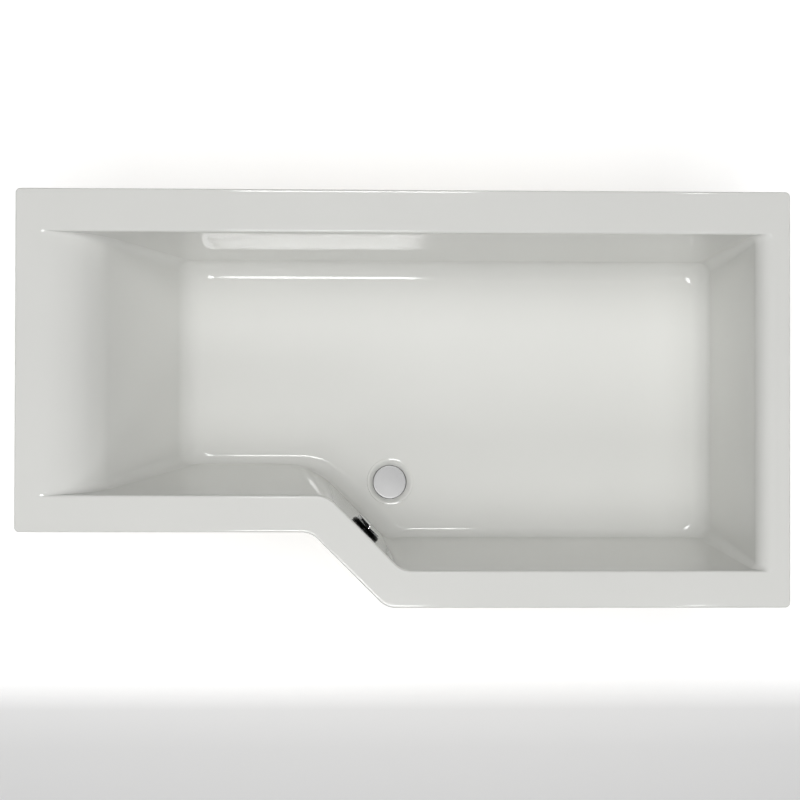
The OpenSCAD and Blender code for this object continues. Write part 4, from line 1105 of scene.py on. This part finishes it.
@dataclass
class Flexibles:
    """The ribbed overflow hose and the control cable, both held at both ends."""

    hose: Run = Run(
        (-0.102983, -0.293021, 0.468604), (-0.0406465, -0.210579, 0.119), -125.646, 0.032, (0.240, 0.045), 80
    )
    cable: Run = Run(
        (-0.123375, -0.307471, 0.474908), (-0.0675164, -0.172353, 0.1152), -187.646, 0.010, (0.300, 0.070), 96
    )
    hose_r: float = 0.016
    hose_bore_r: float = 0.0115
    rib_pitch: float = 0.006
    # Share of a rib's pitch, and how far the surface lies under the rib's crest there
    rib_shape: tuple[Pair, ...] = (
        (0.0, 0.0), (0.12, 0.0), (0.3, 0.0), (0.42, 0.0006),
        (0.5, 0.0018), (0.6, 0.0024), (0.82, 0.0024), (0.92, 0.0014),
    )
    bore_rings: int = 60
    rib_look: float = 0.004
    cable_r: float = 0.0025
    cable_rings: int = 160

    @staticmethod
    def along(points: Sequence[Vector], distance: float) -> tuple[Vector, Vector]:
        """Point and direction at a distance along a route."""
        for first, second in zip(points, points[1:]):
            step = (second - first).length
            if distance <= step or second is points[-1]:
                return first + (second - first) * (distance / step), (second - first).normalized()
            distance -= step
        return points[-1], (points[-1] - points[-2]).normalized()

    @staticmethod
    def ring(at: Vector, way: Vector, side: Vector, radius: float, count: int) -> Ring:
        """A ring square to a direction."""
        v = way.cross(side).normalized()
        u = v.cross(way)
        turns = [math.tau * k / count for k in range(count)]
        return [at + radius * (u * math.cos(a) + v * math.sin(a)) for a in turns]

    @staticmethod
    def length(points: Sequence[Vector]) -> float:
        """Length of a route."""
        return sum((b - a).length for a, b in zip(points, points[1:]))

    def build_hose(self, finishes: Finishes) -> None:
        """Builds the ribbed hose with its bore.

        Args:
            finishes: The materials.
        """
        line = self.hose.points
        total = self.length(line)
        ribs = int(total / self.rib_pitch)
        step = total / ribs
        outside = []
        for i in range(ribs):
            outside += [((i + share) * step, self.hose_r - sink) for share, sink in self.rib_shape]
        outside.append((total, self.hose_r))
        inside = [(total * i / self.bore_rings, self.hose_bore_r) for i in range(self.bore_rings, -1, -1)]
        rings = []
        for distance, radius in outside + inside:
            at = self.along(line, distance)[0]
            before = self.along(line, max(0.0, distance - self.rib_look))[0]
            after = self.along(line, min(total, distance + self.rib_look))[0]
            rings.append(self.ring(at, (after - before).normalized(), self.hose.side, radius, 32))
        hose = close_piece(loft("overflow_ribbed_hose", rings, joined_ends=True), 50)
        finish_piece(hose, Body.BATH, finishes.hose, ["overflow_hose"])

    def build_cable(self, finishes: Finishes) -> None:
        """Builds the control cable's sheath.

        Args:
            finishes: The materials.
        """
        line = self.cable.points
        total = self.length(line)
        rings = []
        for i in range(self.cable_rings + 1):
            at, way = self.along(line, total * i / self.cable_rings)
            rings.append(self.ring(at, way, self.cable.side, self.cable_r, 20))
        cable = close_piece(loft("knob_control_cable", rings), 50)
        finish_piece(cable, Body.BATH, finishes.black_plastic, ["control_cable"])

    def build(self, finishes: Finishes) -> None:
        """Builds both flexibles.

        Args:
            finishes: The materials.
        """
        self.build_hose(finishes)
        self.build_cable(finishes)


@dataclass
class Underframe:
    """Legs and timber: the threaded studs are new, the rest keeps its CAD shape."""

    # Body, place in plan and top of each stud
    feet: tuple[tuple[Body, Pair, float], ...] = (
        (Body.FOOT_1, (-0.3, -0.208), 0.190),
        (Body.FOOT_2, (-0.3, 0.365), 0.190),
        (Body.FOOT_3, (0.48, -0.362), 0.190),
        (Body.FOOT_4, (0.48, 0.365), 0.190),
        (Body.FOOT_5, (0.15, 0.0), 0.125),
    )
    low_z: float = 0.007
    stud_r: float = 0.005
    pitch: float = 0.0015
    thread_depth: float = 0.0009
    thread_power: float = 1.2
    thread_sides: int = 24
    thread_rows: int = 8

    def thread_turn(self) -> Piece:
        """Builds one pitch of the studs' thread."""
        count, rows = self.thread_sides, self.thread_rows
        rings = []
        for row in range(rows + 1):
            ring = []
            for k in range(count):
                phase = (row / rows - k / count) % 1.0
                sink = self.thread_depth * (1 - abs(2 * phase - 1)) ** self.thread_power
                turn = math.tau * k / count
                radius, z = self.stud_r - sink, self.pitch * row / rows
                ring.append(Vector((radius * math.cos(turn), radius * math.sin(turn), z)))
            rings.append(ring)
        return loft("thread_turn", rings)

    def build_stud(self, name: str, at: Pair, top: float) -> Piece:
        """Builds one threaded stud.

        Args:
            name: Its name.
            at: Its place in plan.
            top: Height of its top.

        Returns:
            The stud.
        """
        stud = self.thread_turn()
        stud.name = stud.data.name = name
        pick(stud)
        bpy.ops.object.mode_set(mode="EDIT")
        mesh = bmesh.from_edit_mesh(stud.data)
        for face in mesh.faces:
            face.select_set(len(face.verts) > 4)
        bmesh.update_edit_mesh(stud.data)
        bpy.ops.mesh.delete(type="ONLY_FACE")
        bpy.ops.object.mode_set(mode="OBJECT")
        apply_modifier(
            stud, "ARRAY", count=int((top - self.low_z) / self.pitch), use_relative_offset=False,
            use_constant_offset=True, constant_offset_displace=(0, 0, self.pitch),
            use_merge_vertices=True, merge_threshold=SAME_POINT,
        )
        bpy.ops.object.mode_set(mode="EDIT")
        seal_mesh()
        close_piece(stud, 55)
        return place(stud, Matrix.Translation((*at, self.low_z)))

    def build(self, finishes: Finishes) -> None:
        """Builds and dresses the studs.

        Args:
            finishes: The materials.
        """
        for number, (body, at, top) in enumerate(self.feet, 1):
            stud = self.build_stud(f"threaded_stud_{number}", at, top)
            finish_piece(stud, body, finishes.screw_zinc, [f"leg_stud_{number}"])


def dress_nodes(finishes: Finishes) -> None:
    """Gives each CAD node that stays its material.

    Args:
        finishes: The materials.
    """
    f = finishes
    # The first rule whose text is in the node's name holds
    rules: list[tuple[str, Material]] = [
        ("baseboard", f.chipboard), ("batten_left", f.timber_y), ("batten_right", f.timber_y),
        ("batten_splay", f.timber_splay), ("batten", f.timber_x), ("lever_pin", f.screw_zinc),
        ("lift_lever", f.brass), ("plug_stem", f.brass), ("knob_spindle", f.brass),
        ("waste_flange", f.chrome), ("screws", f.screw_zinc), ("leg_", f.zinc),
        ("wall_bracket", f.zinc), ("seal", f.rubber), ("gasket", f.rubber), ("foot_", f.black_plastic),
        ("hose_nut", f.black_plastic), ("", f.white_plastic),
    ]
    for name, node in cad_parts.items():
        if node.hide_render:
            continue
        material = next(m for part, m in rules if part in name)
        for slot in node.material_slots:
            slot.material = material
        if not node.material_slots:
            node.data.materials.append(material)
        LOG.info("%s: CAD shape, %s", name, material.name)


# ---------------------------------------------------------------- studio


@dataclass(frozen=True)
class SoftLight:
    """One overhead light, facing straight down; an unmirrored one is left out of reflections."""

    name: str
    at: Triple
    size: Pair
    power: float
    mirrored: bool = True


@dataclass
class Studio:
    """Camera, floor, world and lights.

    The panels light the bath and aren't mirrored in it. The bars and dots hang far up and
    give the gloss its highlights.
    """

    eye: Triple = (-0.1723262781, -0.0701832347, 5.090)
    turn: Triple = (0.0148552, -0.0359172, 0.00224675)
    focal_px: float = 2216.878
    frame_px: float = 800.0
    sensor: float = 36.0
    lights: tuple[SoftLight, ...] = (
        SoftLight("top_panel", (0.0, 0.0, 6.6), (6.0, 6.0), 240.0, False),
        SoftLight("left_panel", (-5.0, 0.0, 5.6), (2.5, 5.0), 62.0, False),
        SoftLight("front_panel", (0.0, -5.0, 5.6), (5.0, 2.5), 112.0, False),
        SoftLight("right_panel", (5.0, 0.0, 5.6), (2.5, 5.0), 25.0, False),
        SoftLight("front_bar", (-0.05, -8.9, 40.57), (3.9, 10.1), 1475.0),
        SoftLight("back_bar", (0.48, 8.95, 40.57), (4.85, 6.7), 1225.0),
        SoftLight("front_dot", (7.48, -8.9, 40.57), (0.3, 10.1), 114.0),
        SoftLight("back_dot", (7.50, 8.95, 40.57), (0.3, 6.7), 88.0),
    )
    world_strength: float = 0.02
    world_tone: tuple[float, ...] = (1, 1, 0.985, 1)
    floor_size: float = 40.0
    floor_glow: float = 0.5
    # Where the floor's painted shade ramp starts and ends along Y, and its share and grey at each stop
    shade_ramp_y: Pair = (-0.95, -0.60)
    ramp: tuple[Pair, ...] = ((0.0, 0.47), (0.45, 0.50), (0.70, 0.55), (1.0, 0.88))

    def build_camera(self) -> None:
        """Sets up the photograph's camera, above the bath and a little off square."""
        data = bpy.data.cameras.new("photo_camera")
        data.sensor_width = self.sensor
        data.lens = self.focal_px / self.frame_px * self.sensor
        data.clip_end = 100
        camera = bpy.data.objects.new("photo_camera", data)
        bpy.context.scene.collection.objects.link(camera)
        axis = Vector(self.turn)
        turn = Matrix.Rotation(axis.length, 4, axis.normalized())
        camera.matrix_world = Matrix.Translation(self.eye) @ turn
        bpy.context.scene.camera = camera

    def build_floor(self) -> None:
        """Lays the pale floor, which glows a little; its colour and glow darken in front of the bath as
        painted shade.
        """
        deselect()
        bpy.ops.mesh.primitive_plane_add(size=self.floor_size)
        floor = bpy.context.object
        floor.name = "studio_floor"
        kit = NodeKit("pale_floor")
        low, high = self.shade_ramp_y
        along = kit.add("SeparateXYZ", Vector=kit.place).outputs["Y"]
        span = kit.add("MapRange", Value=along, From_Min=low, From_Max=high)
        # Painted shade: the ramp darkens the floor's colour and glow towards the front
        shade = kit.ramp(span.outputs["Result"], [(share, (grey,) * 3) for share, grey in self.ramp])
        kit.set(Base_Color=shade, Emission_Color=shade, Emission_Strength=self.floor_glow)
        kit.set(Roughness=0.9, Specular_IOR_Level=0.0)
        floor.data.materials.append(kit.material)

    def build_world(self) -> None:
        """Sets a faint, even world."""
        world = bpy.data.worlds.new("pale_world")
        world.use_nodes = True
        sky = world.node_tree.nodes["Background"]
        sky.inputs["Color"].default_value = self.world_tone
        sky.inputs["Strength"].default_value = self.world_strength
        bpy.context.scene.world = world

    def build_lights(self) -> None:
        """Hangs the lights, unseen by the camera."""
        for light in self.lights:
            data = bpy.data.lights.new(light.name, "AREA")
            data.shape = "RECTANGLE"
            data.size, data.size_y = light.size
            data.energy = light.power
            lamp = bpy.data.objects.new(light.name, data)
            lamp.location = light.at
            lamp.visible_camera = False
            lamp.visible_glossy = light.mirrored
            bpy.context.scene.collection.objects.link(lamp)

    def build(self) -> None:
        """Sets up the whole studio."""
        self.build_floor()
        self.build_world()
        self.build_lights()
        bpy.context.scene.view_settings.view_transform = "Standard"


def main() -> None:
    """Builds the camera, the cords, the bath and the studio."""
    logging.basicConfig(level=logging.INFO, format="%(name)s %(message)s")
    deselect()
    studio = Studio()
    studio.build_camera()
    finishes = Finishes()
    overflow = Overflow()
    Flexibles().build(finishes)
    Shell().build(finishes, overflow.frame)
    overflow.build(finishes)
    PlugCap().build(finishes)
    Underframe().build(finishes)
    dress_nodes(finishes)
    studio.build()


if __name__ == "__main__":
    main()
